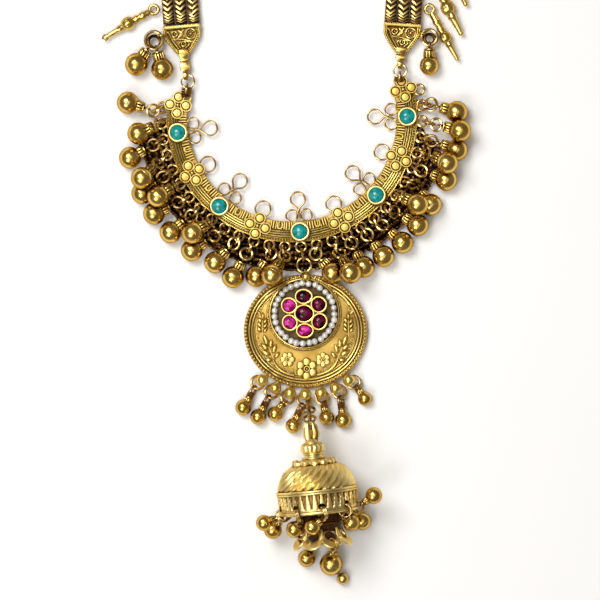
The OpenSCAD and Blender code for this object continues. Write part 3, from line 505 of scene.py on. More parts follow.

# Mat of small links between the collar and the bells, in rows that lean to and fro: links, and also a dark
# mass that paints the deep shade there.
# Most are dark; the share of lighter ones is larger towards the upper ends.
mat = {
    "rows": np.arange(38.2, 45.6, 0.92), "from": 182, "to": 354, "narrowing": 1.1, "radius": 0.8,
    "wire": 0.32, "pitch": 1.04, "lean": 46, "z": 1.0, "lightTurns": [200, 235, 315, 340],
    "light": [0.8, 0.25, 0.25, 0.6]}
matRows = []
for n, radius in enumerate(mat["rows"]):
    first, last = mat["from"] + mat["narrowing"] * n, mat["to"] - mat["narrowing"] * n
    count = int(radius * math.radians(last - first) / mat["pitch"])
    turns = np.linspace(first, last, count) + (n % 2) * 0.5 * (last - first) / count
    turns += seeded.normal(0, 0.2, count)
    leans = np.radians(mat["lean"] * (1 - 2 * (n % 2)) + seeded.normal(0, 16, count))[:, None]
    along = polar(1, turns + 90)
    slope = np.cos(leans) * polar(1, turns) + np.sin(leans) * up
    light = seeded.uniform(0, 1, count) < np.interp(turns, mat["lightTurns"], mat["light"])
    spots = polar(radius + seeded.normal(0, 0.12, count), turns, mat["z"])
    matRows.append((spots, np.stack([along, slope, np.cross(along, slope)], 1), light))
matSpots, matAxes, matLight = [np.concatenate(column) for column in zip(*matRows)]
matLink = wireRing((0, 0, 0), up, mat["radius"], mat["wire"], around=10, sides=4)
# the near-black links paint the deep shade among the fringe's rings
placedMesh("fringeMat", [
    ([copies(matLink, matSpots[picked], axes=matAxes[picked])], gold[finish])
    for picked, finish in [(~matLight, "darkLinks"), (matLight, "darkBronze")]])
print("fringe hung")


# Collar
collar = {
    "radius": 34.5, "middle": fringe["middle"], "half": 102, "stoneStep": 43,
    "stones": np.arange(-2, 3), "top": 2.3, "eye": 1.5, "eyeZ": 2.05,
    "flowers": np.array([-2.32, -1.5, -0.5, 0.5, 1.5, 2.32]), "bowlFar": 2.4,
    # the long wires' orbits and radii, and the orbit and pitch of the beads between the outer two
    "wires": [(37.38, 0.24), (36.5, 0.2), (35.86, 0.35), (35.14, 0.35), (34.46, 0.3)],
    "beads": (36.95, 0.82),
    # orbit of the eye at each end, and how far it stands out of the band's end
    "endOrbits": [32.3, 33.9], "endOut": 1.4}


def collarTurn(steps):
    return collar["middle"] + collar["stoneStep"] * steps


stoneTurns, flowerTurns = collarTurn(collar["stones"]), collarTurn(collar["flowers"])
startTurn, endTurn = collar["middle"] - collar["half"], collar["middle"] + collar["half"]
stoneSpots = polar(collar["radius"], stoneTurns)


# Turns from one end of the collar to the other, a pitch apart at a radius
def collarTurns(radius, pitch, margin=0.0):
    count = int(radius * math.radians(endTurn - startTurn) / pitch)
    return np.linspace(startTurn + margin, endTurn - margin, count)


def collarArc(radius, z, thick, profile=None):
    return carried(polar(radius, collarTurns(radius, 0.5), z), thick, profile=profile)


# The band's section, from the middle line outwards (-x is outwards) and up from the table
bandSection = np.array([
    [-2.1, 0.1], [2.1, 0.1], [2.15, 0.55], [2.9, 0.62], [3.1, 0.8], [3.1, 1.9], [2.95, 2.12],
    [2.2, 2.2], [0.6, 2.12], [-0.2, 2.2], [-2.4, 2.2], [-2.95, 2.15], [-3.1, 1.95], [-3.1, 0.8],
    [-2.9, 0.62], [-2.15, 0.55]])
bandParts = [collarArc(collar["radius"], 0.0, 1.0, bandSection)]

# Outer border, a row of beads between two wires, and three smooth wires inside it
collarParts = [collarArc(orbit, collar["top"], thick) for orbit, thick in collar["wires"]]
beadOrbit, beadPitch = collar["beads"]
collarParts.append(copies(granule, polar(beadOrbit, collarTurns(beadOrbit, beadPitch, 0.4), 2.32), 0.33))

# Bowls of the flowers: a raised rim, a groove and a level middle, four bowls round a granule
bowlRise = [2.3, 2.35, 2.9, 3.1, 3.2, 3.2, 3.08, 2.6, 2.6, 2.9, 3.0, 3.04, 3.05]
bowlWide = [1.4, 1.66, 1.76, 1.76, 1.7, 1.48, 1.4, 1.34, 1.18, 1.13, 1.04, 0.7, 0.3]
flowerMiddles = polar(collar["radius"] - 0.2, flowerTurns)
bowlSpots = flowerMiddles[:, None] + polar(collar["bowlFar"], flowerTurns[:, None] + 90 * np.arange(4))
bowlSpots = bowlSpots.reshape(-1, 3)
collarParts += [
    copies(turned(bowlRise, bowlWide, tips=(2.3, 3.1)), bowlSpots),
    copies(ball((0, 0, 0), 0.78, up, 8, 12), flowerMiddles + 2.95 * up)]

# Comb of short radial ribs along the inner edge, left out under the bowls and the stones
rib = {"radius": 32.85, "half": 1.25, "pitch": 0.78, "thick": 0.29, "z": 2.16}
half = rib["half"]
ribPath = [[-half, 0, -0.12], [0.2 - half, 0, 0.2], [half - 0.2, 0, 0.3], [half, 0, 0.05]]
ribPart = carried(ribPath, rib["thick"] * np.array([0.9, 1.15, 1.0, 0.8]), sides=6)
ribTurns = collarTurns(rib["radius"], rib["pitch"], 0.8)
ribTurns = ribTurns + seeded.normal(0, 0.1, len(ribTurns))
ribSpots = polar(rib["radius"] + seeded.normal(0, 0.07, len(ribTurns)), ribTurns, rib["z"])
covers = np.vstack([bowlSpots, stoneSpots])
reach = np.repeat([1.75, 2.7], [len(bowlSpots), len(stoneSpots)])
free = np.all(np.linalg.norm((ribSpots[:, None] - covers)[..., :2], axis=-1) > reach, axis=1)
collarParts.append(copies(ribPart, ribSpots[free], axes=radialAxes(ribTurns[free])))

# Small U-shaped wires that lie on the comb, open towards the neck
bend = np.radians(np.linspace(-100, 100, 9))
hoop = np.stack([0.6 * np.cos(bend), 0.7 * np.sin(bend), 0 * bend], -1)
hoop = np.vstack([[-1.2, -0.55, 0], [-0.6, -0.75, 0], hoop, [-0.6, 0.75, 0], [-1.2, 0.55, 0]])
hoopTurns = (stoneTurns[:, None] + [-10.4, 9.4]).ravel()[1:-1]
hoopPart = carried(hoop, 0.3, sides=6)
collarParts.append(copies(hoopPart, polar(33.1, hoopTurns, 2.82), axes=radialAxes(hoopTurns)))

# Collets: a wall round each stone with a rounded rim
colletRise = [2.0, 3.7, 4.0, 4.16, 4.2, 4.12, 3.9, 2.4]
colletWide = [3.0, 2.95, 2.89, 2.75, 2.55, 2.31, 2.25, 2.25]
rimParts = [copies(turned(colletRise, colletWide, around=32, tips=(2.0, 2.4)), stoneSpots)]

# Wire loops of the inner edge: two small loops and a pear-shaped one beside each stone, and a larger
# loop between two stones
loops = {"wire": 0.29, "small": 1.75, "smallAt": 29.7, "smallTurn": 4.1, "lone": 2.3, "loneAt": 28.95,
         "pear": 2.15, "pearAt": 24.8}
bend = np.radians(np.linspace(-130, 130, 22))
pear = np.stack([
    loops["pearAt"] - loops["pear"] * np.cos(bend), loops["pear"] * np.sin(bend),
    np.linspace(1.92, 2.12, 22)], -1)
pear = np.vstack([
    [30.6, 0.75, 1.9], [29.2, 0.45, 1.9], [27.6, -0.3, 1.9], pear,
    [27.6, 0.3, 2.15], [29.2, -0.45, 2.15], [30.6, -0.75, 2.15]])
smallTurns = (stoneTurns[:, None] + [-loops["smallTurn"], loops["smallTurn"]]).ravel()
smallLoop = wireRing((0, 0, 0), up, loops["small"], loops["wire"], around=28)
loneLoop = wireRing((0, 0, 0), up, loops["lone"], loops["wire"], around=34)
loopParts = [
    copies(smallLoop, polar(loops["smallAt"], smallTurns, 2.0)),
    copies(vine(pear, loops["wire"], 3), np.zeros((len(stoneTurns), 3)), axes=radialAxes(stoneTurns)),
    copies(loneLoop, polar(loops["loneAt"], collarTurn(collar["flowers"][1:-1]), 2.0))]
eyeTurns = fringe["middle"] + fringe["eyeStep"] * np.arange(-14, 15)
eyeRing = wireRing((0, 0, 0), up, collar["eye"], 0.4, around=22)
eyeParts = [copies(eyeRing, polar(fringe["orbit"], eyeTurns, collar["eyeZ"]))]


def collarEndEye(side):
    turn, away = [(startTurn, -90), (endTurn, 90)][side]
    onBand = polar(collar["endOrbits"][side], turn, collar["eyeZ"])
    return onBand + polar(collar["endOut"], turn + away)


eyeParts += [wireRing(collarEndEye(side), up, collar["eye"], 0.35, doubledWire(10)) for side in [0, 1]]
# the band itself is darker gold, painted shade under the comb and wires
placedMesh("collarBand", [
    (bandParts, gold["shadedBandFloor"]), (collarParts, gold["combGold"]), (rimParts, gold["palePlate"]),
    (loopParts, gold["collarWire"]), (eyeParts, gold["ringGold"])], ["collar"])

# Turquoise domes
angle = np.radians(np.linspace(44, 6, 8))
for n, spot in enumerate(stoneSpots, 1):
    rise = np.concatenate([[2.3, 3.9], 1.7 + 3.2 * np.cos(angle)])
    stone = turned(rise, np.concatenate([[2.2, 2.2], 3.1 * np.sin(angle)]), spot, around=32, tips=(2.3, 4.9))
    placedMesh("turquoiseDome%d" % n, [([stone], turquoiseStone)], ["turquoise_%d" % n])
print("collar made")


# Pendant: oval plate, relief, well of stones and pearls
pendant = {
    "centre": np.array([4.05, -64.2, 0.0]), "wide": 18.4, "high": 16.95, "top": 1.8, "edgeStep": 13.2,
    "well": np.array([3.7, -58.95, 0.0]), "rubyOrbit": 5.1, "rubyTurn": 92}


def ovalPoint(inset, degrees, z):
    inset, turn, z = np.broadcast_arrays(inset, np.radians(degrees), z)
    return pendant["centre"] + np.stack([
        (pendant["wide"] - inset) * np.cos(turn), (pendant["high"] - inset) * np.sin(turn), z], -1)


def onPlate(x, y, z):
    return pendant["centre"] + [x, y, z]


# The plate: rows of inset and height, each an oval of the outline drawn in by the inset
insets = np.array([2.0, 0.4, 0.3, 0.0, 0.0, 0.15, 0.95, 1.1, 1.2, 2.0, 3.3, 3.8, 9.0])
heights = np.array([0.0, 0.0, 0.35, 0.45, 2.0, 2.2, 2.2, 2.1, 1.72, 1.78, 1.78, 1.86, 2.0])
ovalTurns = np.linspace(0, 360, 120, endpoint=False)
plateEnds = (pendant["centre"], onPlate(0, 0, 2.0))
plate = loopGrid(ovalPoint(insets[:, None], ovalTurns, heights[:, None]), plateEnds)

# Border: three wires, and two rows of beads outside them
plateParts = [
    carried(ovalPoint(inset, ovalTurns, z), thick, closed=True)
    for inset, z, thick in [(1.55, 2.08, 0.34), (2.42, 2.02, 0.33), (3.2, 1.85, 0.14)]]
beadTurns = np.linspace(0, 360, 94, endpoint=False)
plateParts.append(copies(ball((0, 0, 0), 1.0, up, 6, 9), ovalPoint(0.52, beadTurns, 2.2), 0.52))
plateParts.append(copies(granule, ovalPoint(0.2, beadTurns + 1.9, 1.6), 0.36))

# Flowers in relief: low round petals about a heart in a ring of wire
cup = turned([0, 0.3, 0.5, 0.61, 0.67, 0.69], [1.12, 1.12, 1.02, 0.84, 0.56, 0.24], around=20)
# place, size of a petal, its distance from the middle and the direction of the first one
reliefFlowers = [
    (0.4, -11.3, 1.12, 2.1, 90), (-5.3, -8.5, 0.82, 1.38, 60), (5.35, -8.6, 0.82, 1.38, 90)]
for x, y, size, orbit, turn in reliefFlowers:
    middle = onPlate(x, y, pendant["top"])
    plateParts.append(copies(cup, middle + polar(orbit, turn + 60 * np.arange(6)), size))
    plateParts.append(ball(middle + 0.5 * up, size * 0.4, up, 7, 12))
    plateParts.append(wireRing(middle + 0.7 * up, up, size * 0.7, 0.19, around=18, sides=6))


# A leaf: half-width and height follow a sine along its rib, highest along the middle
def leafPart(root, heading, length, wide, bend):
    s = np.linspace(0.02, 0.98, 9)
    turn = np.radians(heading + bend * (s - 0.5) * 2)
    path = root + np.cumsum(np.stack([np.cos(turn), np.sin(turn), 0 * s], -1), axis=0) * length / len(s)
    full = np.sin(np.pi * s ** 0.8)[:, None] ** 0.8
    return carried(path, 1.0, profile=ellipse(-wide * full, spray["high"] * full, 10))


# Leaves of the lower sprays fan out of one root, those of the upper ones stand in pairs on a stem:
# distance up the stem, turn away from it, length and half-width
spray = {
    "high": 0.7, "bend": 9,
    "fan": [
        [3.8, 0, 4.2, 0.82], [2.7, 30, 3.4, 0.78], [1.1, 44, 3.6, 0.78], [-0.3, 66, 3.0, 0.7],
        [3.0, -30, 3.4, 0.78], [1.4, -44, 3.6, 0.78], [0.0, -64, 3.0, 0.7]],
    "pairs": [
        [4.0, 0, 2.6, 0.56], [0.3, 38, 2.6, 0.52], [0.3, -38, 2.6, 0.52], [1.6, 36, 2.6, 0.54],
        [1.6, -36, 2.6, 0.54], [2.9, 32, 2.5, 0.54], [2.9, -32, 2.5, 0.54]],
    # a vine from the sprays to the flower, and a tendril above each upper spray
    "vines": [
        ([(9.7, -8.6), (8.6, -10.5), (6.7, -12.1), (4.5, -13.0), (3.4, -13.2)], 0.36),
        ([(13.6, 5.2), (14.3, 6.3), (13.7, 7.6), (12.7, 8.4), (12.2, 9.5), (11.4, 10.8)], 0.32)]}


def sprayOf(x, y, heading, leaves, side):
    root = onPlate(x, y, pendant["top"] + 0.05)
    along = polar(1, heading)
    parts = []
    for far, away, length, wide in leaves:
        bend = side * np.sign(away) * spray["bend"]
        parts.append(leafPart(root + far * along, heading - side * away, length, wide, bend))
    stem = [root + far * along for far in [-0.8, 0.4, max(leaf[0] for leaf in leaves)]]
    return parts + [vine(stem, 0.2, 4, 6)]


for s in [-1, 1]:
    plateParts += sprayOf(s * 9.6, -8.3, 90 - s * 22, spray["fan"], s)
    plateParts += sprayOf(s * 12.9, -0.9, 90 + s * 1, spray["pairs"], s)
    for points, thick in spray["vines"]:
        plateParts.append(vine([onPlate(s * x, y, 1.95) for x, y in points], thick))
    plateParts.append(wireRing(onPlate(s * 13.4, 6.5, 1.95), up, 0.5, 0.18, around=16, sides=6))

# Small rings and granules inside the border, and a stippled ground below the vines
ringTurns = np.arange(172, 370, 11.0) + seeded.normal(0, 1.2, 18)
smallHoop = wireRing((0, 0, 0), up, 0.42, 0.15, around=14, sides=6)
plateParts.append(copies(smallHoop, ovalPoint(4.1, ringTurns, 1.92)))
plateParts.append(copies(granule, ovalPoint(4.1, ringTurns + 5.5, 1.88), 0.3))
stippleTurns = seeded.uniform(195, 345, 260)
plateParts.append(copies(granule, ovalPoint(seeded.uniform(3.5, 5.4, 260), stippleTurns, 1.8), 0.2))


# Well: wall with a twisted border, and a floor darkened with painted shade
def inWell(rise, wide, around, tips, spot=pendant["well"], side=across):
    return turned(rise, wide, spot, up, side, around, tips)


wellRise = [1.5, 2.9, 3.1, 3.16, 3.05, 2.8, 1.65]
wellWide = [10.66, 10.62, 10.5, 10.3, 10.14, 10.08, 10.05]
wellBorder = pendant["well"] + polar(10.85, np.linspace(0, 360, 360, endpoint=False), 2.3)
plateParts += [inWell(wellRise, wellWide, 72, (1.5, 1.65)), twistedCord(wellBorder, up, 0.36, 96, 0.24)]
floorPart = inWell([1.7, 2.02, 2.08], [10.0, 10.0, 9.9], 48, (1.7, 2.1))

# Ruby collets: seven oval cups with thick rounded rims that run into each other
rubyTurns = pendant["rubyTurn"] + 60 * np.arange(6)
rubySpots = np.vstack([pendant["well"], pendant["well"] + polar(pendant["rubyOrbit"], rubyTurns)])
rubySides = np.vstack([[0.0, 1.0, 0.0], polar(1, rubyTurns)])
# half-widths along the ring and across it
rubySizes = [(2.55, 2.3), (2.2, 1.8), (1.95, 2.0), (2.0, 1.85), (2.2, 1.75), (2.15, 1.9), (2.05, 1.95)]


def oval(sizes, around):
    turn = fullTurn(around)
    return 1 / np.hypot(np.cos(turn) / sizes[0], np.sin(turn) / sizes[1])


rubyRise = [1.6, 3.3, 3.66, 3.84, 3.88, 3.8, 3.4, 2.72]
rubyWall = np.array([0.6, 0.6, 0.56, 0.44, 0.24, 0.04, -0.02, 0.0])[:, None]
wellParts = [inWell([1.6, 2.5, 2.72], [5.6, 5.5, 5.3], 36, (1.6, 2.75))]
for spot, side, sizes in zip(rubySpots, rubySides, rubySizes):
    wellParts.append(inWell(rubyRise, oval(sizes, 32) + rubyWall, 32, (1.6, 2.72), spot, side))


# Balls, eyes and pegs of the lower edge
def edgeOutward(n):
    turn = math.radians(n * pendant["edgeStep"] - 90)
    return unit([pendant["high"] * math.cos(turn), pendant["wide"] * math.sin(turn), 0])


def edgePoint(n, offset, z):
    return ovalPoint(0, n * pendant["edgeStep"] - 90, 0.0) + offset * edgeOutward(n) + z * up


dropEye = {"out": 1.7, "z": 2.15, "radius": 0.95, "wire": 0.33}
# each peg: its points' distance out of the edge and height, and the way its section is laid
pegs = [([(-0.6, 1.45), (0.2, 1.55), (0.95, 1.65)], up), ([(1.8, 3.1), (1.9, 3.6), (2.0, 4.1)], across)]
for n in range(-3, 4):
    eye = edgePoint(n, dropEye["out"], dropEye["z"])
    wellParts += [
        ball(edgePoint(n, 2.0, 4.9), 1.8, up, 14, 24),
        wireRing(eye, np.cross(edgeOutward(n), up), dropEye["radius"], dropEye["wire"], around=18)]
    wellParts += [carried([edgePoint(n, *point) for point in points], 0.42, flat) for points, flat in pegs]
# direction of the hanger from the collar's middle eye, and distances of its two rings and of the eye
hanger = {
    "axis": -80.6, "rings": [2.55, 5.65], "eye": 7.85, "radii": [1.9, 2.1], "thick": 0.4, "z": [2.3, 2.2]}


def onHanger(far, z):
    return polar(fringe["orbit"], fringe["middle"], z) + polar(far, hanger["axis"])


wellParts.append(wireRing(onHanger(hanger["eye"], 2.15), swingNormal(hanger["axis"]), 0.95, 0.35, around=18))
wellParts.append(ball(onHanger(hanger["eye"] + 1.3, 3.35), 1.35, up, 12, 20))
placedMesh("pendantPlate", [
    ([plate], gold["discGold"]), (plateParts, gold["reliefGold"]), (wellParts, gold["collarGold"]),
    ([floorPart], shadedWellFloor)], ["pendant_disc"])
hangerRings = [
    wireRing(onHanger(far, z), normal, radius, hanger["thick"]) for far, z, normal, radius
    in zip(hanger["rings"], hanger["z"], [swingNormal(hanger["axis"]), up], hanger["radii"])]
placedMesh("hangerRings", [(hangerRings, gold["ringGold"])], ["pendant_links"])

# Rubies: a girdle, two tiers of facets and a small table, left unsmoothed
tierRise, tierWide = [2.8, 3.45, 3.95, 4.3], np.array([1.0, 1.0, 0.8, 0.42])
# these three stones are painted as lit, the others as in shade
litRubies = (2, 3, 4)
for n, (spot, side, sizes) in enumerate(zip(rubySpots, rubySides, rubySizes)):
    stone = inWell(tierRise, oval(sizes, 12) * tierWide[:, None], 12, (2.8, 4.3), spot, side)
    node = "ruby_centre" if n == 0 else "ruby_%d" % n
    finish = rubyLit if n in litRubies else rubyShaded
    placedMesh("cutRuby%d" % n, [([stone], finish)], [node], smooth=False)

# Pearls on their thread, none quite round
pearls = {"count": 31, "z": 2.85, "ring": 9.0, "size": 1.0}
count = pearls["count"]
turns = np.linspace(0, 360, count, endpoint=False) + seeded.normal(0, 0.9, count)
spots = pendant["well"] + polar(pearls["ring"] + seeded.normal(0, 0.08, count), turns, pearls["z"])
stretch = seeded.uniform(0.9, 1.04, (3, count, 1))
axes = np.stack([polar(1, turns + 90) * stretch[0], polar(-1, turns) * stretch[1], up * stretch[2]], 1)
pearl = ball((0, 0, 0), pearls["size"], up, 10, 16)
placedMesh("pearlRow", [([copies(pearl, spots, axes=axes)], pearlSkin)], ["pearl_string"])
print("pendant made")

# Drops on the pendant's lower edge
dropRing = {"first": 1.9, "firstWire": 0.48, "second": 1.45, "secondWire": 0.42}
# edge ball, direction of the ring and of the drop, number of rings, radius of the ball
discDrops = [
    [-3, -147, -120, 2, 2.4], [-2, -129, -119, 2, 2.35], [-1, -115, -127, 1, 2.3], [0, -105, -112, 2, 2.3],
    [1, -75, -78, 1, 2.25], [2, -50, -82, 2, 2.4], [3, -30, -55, 1, 2.1]]
dropBells, dropRings, dropCoils = [], [], []
for at, ringTurn, dropTurn, rings, radius in discDrops:
    ring = edgePoint(at, dropEye["out"], dropEye["z"]) + polar(dropRing["first"], ringTurn)
    second = ring + polar(dropRing["first"] + 0.85, dropTurn, 0.15)
    dropRings.append(wireRing(ring, [0.1, 0.2, 1], dropRing["first"], dropRing["firstWire"]))
    hook, normal = ring + polar(dropRing["first"] + 0.04, dropTurn), swingNormal(dropTurn)
    if rings == 2:
        hook, normal = second + polar(dropRing["second"] + 0.05, dropTurn), up
        tilted = swingNormal(dropTurn) + 0.5 * up
        dropCoils.append(wireRing(second, tilted, dropRing["second"], dropRing["secondWire"]))
    centre = hook * [1, 1, 0] + polar(radius + 1.9, dropTurn, radius + 0.1)
    dropCoils.append(coilPart(hook - polar(0.9, dropTurn, 0.1), unit(centre - hook) * 2.6, 0.85, 5, 0.34))
    dropBells += bellParts(centre, hook, radius, normal, *dropNeck)
    if at == 0:
        domeHook = ring + polar(dropRing["first"] + 0.3, -55, 0.85)
names = ["pendantDrops", "pendantDropRings"]
placedDrops(names, dropBells, dropRings, ["disc_drop_beads", "disc_drop_links"], dropCoils)
print("pendant drops hung")


# Dome drop, laid on its side: along is the distance from the knuckle towards the mouth. The slant is
# how many lobes a gadroon moves round for each millimetre.
dome = {
    "knuckle": np.array([6.15, -98.9, 12.5]), "axis": -84, "radius": 11.5, "centre": 13.5, "top": 5.0,
    "ridge": 12.4, "gadroons": 26, "slant": 3.1 / 7.3, "ribs": 34, "scallops": 12, "bail": -5.5,
    "bailRing": 1.9}
hole = {"count": 9, "at": 17.05, "turn": 5, "radius": 1.1}
domeDir, domeSide = polar(1, dome["axis"]), polar(1, dome["axis"] + 90)


def domeRadial(degrees):
    turn = np.radians(degrees)
    return np.cos(turn)[..., None] * up + np.sin(turn)[..., None] * domeSide


def onDome(along, radius, degrees):
    return dome["knuckle"] + along * domeDir + radius * domeRadial(degrees)


def domeTurned(along, radius, around):
    return turned(along, radius, dome["knuckle"], domeDir, up, around)


def domeRing(at, radius, thick, around, sides=8):
    return wireRing(onDome(at, 0, 0), domeDir, radius, thick, around=around, sides=sides)


# Half-width of a circle that is bulged round the dome's centre, at some distances along it
def domeCircle(along, radius):
    return np.sqrt(np.maximum(radius ** 2 - (along - dome["centre"]) ** 2, 0.01))[:, None]


# Gadroons: the dome's circle, raised by sin squared of a phase that turns with the height
around = dome["gadroons"] * 8
along = np.linspace(dome["top"], dome["ridge"], 22)
rise = np.clip((along - dome["top"]) / 1.5, 0, 1) * np.clip((dome["ridge"] - along) / 0.6, 0, 1)
swirl = np.pi * dome["slant"] * (along - dome["top"])[:, None]
phase = 0.5 * dome["gadroons"] * fullTurn(around) - swirl
shellRadius = domeCircle(along, dome["radius"]) - 0.45 + 0.85 * rise[:, None] * np.sin(phase) ** 2
inner = np.array([12.3, 9, 7, 5.9])
shellRadius = np.vstack([shellRadius, np.repeat(domeCircle(inner, 10.6), around, 1)])
domeParts = [domeTurned(np.concatenate([along, inner]), shellRadius, around)]

# Ribbed band: a shell with wedge-shaped grooves, wide at the top and run out below
around = dome["ribs"] * 12
along = np.concatenate([[12.2, 12.35, 13.1, 13.25], np.linspace(13.35, 18.3, 22), [18.5, 18.8]])
base = np.concatenate([[11.3, 11.95, 11.95, 11.6], np.full(22, 11.3), [11.3, 11.2]])
offRib = np.abs(((fullTurn(around) / (2 * np.pi) * dome["ribs"] + 0.5) % 1) - 0.5)
ribWide = np.interp(along, [13.35, 13.8, 17.0, 17.6], [0.2, 0.22, 0.42, 0.6])[:, None]
ribHigh = np.interp(along, [13.25, 13.35, 17.6, 18.3], [0, 0.6, 0.5, 0.2])[:, None]
ribRise = ribHigh * np.clip((ribWide - offRib) / 0.1 + 0.5, 0, 1) * (1 - 0.35 * (offRib / 0.5) ** 2)
bandRadii = np.vstack([base[:, None] + ribRise, np.full((3, around), 10.7)])
bandAlong = np.concatenate([along, [18.7, 14.0, 12.3]])
bandPoints = domeTurned(bandAlong, bandRadii, around)[0][:-2].reshape(len(bandAlong), around, 3)

# Rim: two wires, and the ridge of two more above the ribs
rimParts = [
    domeRing(at, radius, thick, 96, sides) for at, radius, thick, sides
    in [(18.7, 11.35, 0.55, 10), (17.95, 11.4, 0.3, 8), (12.35, 11.8, 0.38, 8), (13.05, 11.85, 0.3, 8)]]

# Flange with scallops and a small boss on each
around = dome["scallops"] * 8
scallop = 5.75 + 0.95 * lobed(fullTurn(around), dome["scallops"], 0.7)
flangeRadii = np.array([0.75, 0.93, 1.0, 1.0, 0.95, 0.9, 0.8])[:, None] * scallop
boss = turned([-0.35, 0.0, 0.35, 0.55, 0.5], [1.2, 1.2, 0.95, 0.6, 0.3], around=12)
outwards = domeRadial(360 / dome["scallops"] * np.arange(dome["scallops"]))
sideways = unit(np.cross(domeDir, outwards))
bossAxes = np.stack([sideways, np.broadcast_to(domeDir, outwards.shape), outwards], 1)
capParts = [
    domeTurned([3.4, 3.5, 3.8, 4.6, 5.0, 5.2, 5.3], flangeRadii, around),
    copies(boss, onDome(4.35, 0, 0) + 6.15 * outwards, axes=bossAxes)]

# Neck, fluted knuckle with a ring on either side, and split bail
angle = np.radians(np.linspace(-170, 170, 17))
knob = 2.45 + 1.15 * np.cos(angle)[:, None] * (0.7 + 0.32 * lobed(fullTurn(80), 10, 0.8))
capParts += [
    domeTurned([0.7, 1.0, 2.2, 3.2, 3.5], [2.2, 2.55, 2.6, 3.4, 4.2], 40),
    domeTurned(1.45 * np.sin(angle), knob, 80),
    domeRing(-1.5, 2.35, 0.34, 40), domeRing(1.6, 2.6, 0.34, 40), domeRing(2.9, 3.2, 0.3, 40),
    domeTurned([-2.9, -2.4, -1.6, -0.8], [1.2, 1.6, 2.1, 2.3], 24),
    wireRing(onDome(dome["bail"], 0, 0), up, dome["bailRing"], 0.5, around=28)]
t = np.linspace(0.03, 0.97, 14)
bailParts = []
for s in [-1, 1]:
    aside = s * 1.08 * np.sin(np.pi * t) ** 0.5
    path = onDome((7.0 * t - 8.2)[:, None], 0, 0) + aside[:, None] * domeSide
    bailParts.append(carried(path, 1.38 * np.sin(np.pi * t ** 1.25) ** 0.5, profile=ellipse(1.0, 0.75, 14)))
placedMesh("domeShell", [
    (domeParts + rimParts + capParts + bailParts[:1], gold["palePlate"]), (bailParts[1:], gold["bellGold"])],
    ["dome_cap"])
bandPiece = placedMesh("domeBand", [([loopGrid(bandPoints)], gold["bandGold"])], ["dome_cap"])
# the second finish paints shade into the grooves and holes
bandPiece.data.materials.append(gold["paintedShadeGold"])

# Nine holes in the band, drilled with a boolean that is applied at once
holeSpokes = domeRadial(hole["turn"] + 360 / hole["count"] * np.arange(hole["count"]))
drills = [
    turned([-1.6, 1.6], [hole["radius"]] * 2, onDome(hole["at"], 0, 0) + 11.3 * spoke, spoke, domeDir, 20)
    for spoke in holeSpokes]
verts, quads, fans = joined(drills)
drillMesh = bpy.data.meshes.new("drill")
drillMesh.from_pydata(inFrame(verts).tolist(), [], quads.tolist() + fans.tolist())
drill = newObject("drill", drillMesh)
cut = bandPiece.modifiers.new("holes", "BOOLEAN")
cut.operation = "DIFFERENCE"
cut.solver = "EXACT"
cut.object = drill
bpy.context.view_layer.update()
drilled = bpy.data.meshes.new_from_object(bandPiece.evaluated_get(bpy.context.evaluated_depsgraph_get()))
bandPiece.modifiers.clear()
bandPiece.data = drilled
smoothShaded(drilled)
bpy.data.objects.remove(drill)

# The floors of the grooves and the walls of the holes get dark gold, painted shade: faces nearer to the axis
# than the ribs
centres = np.empty(3 * len(drilled.polygons))
drilled.polygons.foreach_get("center", centres)
spokes = centres.reshape(-1, 3) * 1000 - layoutShift - dome["knuckle"]
along = spokes @ domeDir
far = np.linalg.norm(spokes - along[:, None] * domeDir, axis=1)
dark = (far < 11.5) & (far > 10.75) & (along > 13.3) & (along < 18.2)
drilled.polygons.foreach_set("material_index", dark.astype(np.int32))

# Petals: eight rings of sheet, their holes nearer the dome, round a calyx on a stem that is painted
# near-black as the shade inside the dome's mouth. A point of the sheet is between its hole's circle (share
# 0) and its outer circle (share 1), at a height
petal = {
    "count": 8, "at": 27, "orbit": 7, "flare": math.radians(38), "outer": 3.3, "hole": 1.7, "shift": 1.15}
petalTurns = 90 - (np.arange(petal["count"]) + 0.5) * 45.0


# Directions at a turn round the dome: outwards, round it, and down the flare of the petals
def petalAxes(turn):
    radial = domeRadial(turn)
    slope = math.sin(petal["flare"]) * radial + math.cos(petal["flare"]) * domeDir
    return radial, np.cross(domeDir, radial), slope


# calyx widened to fill the dome's mouth and painted near-black: a dark thing standing for the shade there
calyxAlong = [17.2, 17.5, 19.5, 22.3, 24.6, 26.6, 28.0, 28.6]
shadeCalyxParts = [
    domeTurned([6.2, 6.3, 20, 21.9], [0.85, 0.9, 0.9, 1.2], 20),
    domeTurned(calyxAlong, [6.2, 6.9, 7.3, 6.6, 5.6, 4.9, 3.6, 2.0], 48)]
cordParts = [domeRing(at, radius, 0.3, 56) for at, radius in [(19.5, 7.3), (22.3, 6.65), (24.6, 5.65)]]
halfSheet = np.array([[0, 0.12], [0.07, 0.32], [0.17, 0.36], [0.83, 0.36], [0.93, 0.32], [1, 0.12]])
sheet = np.vstack([halfSheet, halfSheet[::-1] * [1, -1]])
share, high = sheet[:, :1], sheet[:, 1:]
far = petal["hole"] * (1 - share) + petal["outer"] * share
petalParts = []
for turn in petalTurns:
    radial, tangent, slope = petalAxes(turn)
    around = fullTurn(36)[:, None, None]
    middle = onDome(petal["at"], petal["orbit"], turn) - petal["shift"] * (1 - share) * slope
    points = middle + far * (np.cos(around) * slope + np.sin(around) * tangent)
    petalParts.append(loopGrid(points + high * np.cross(slope, tangent)))

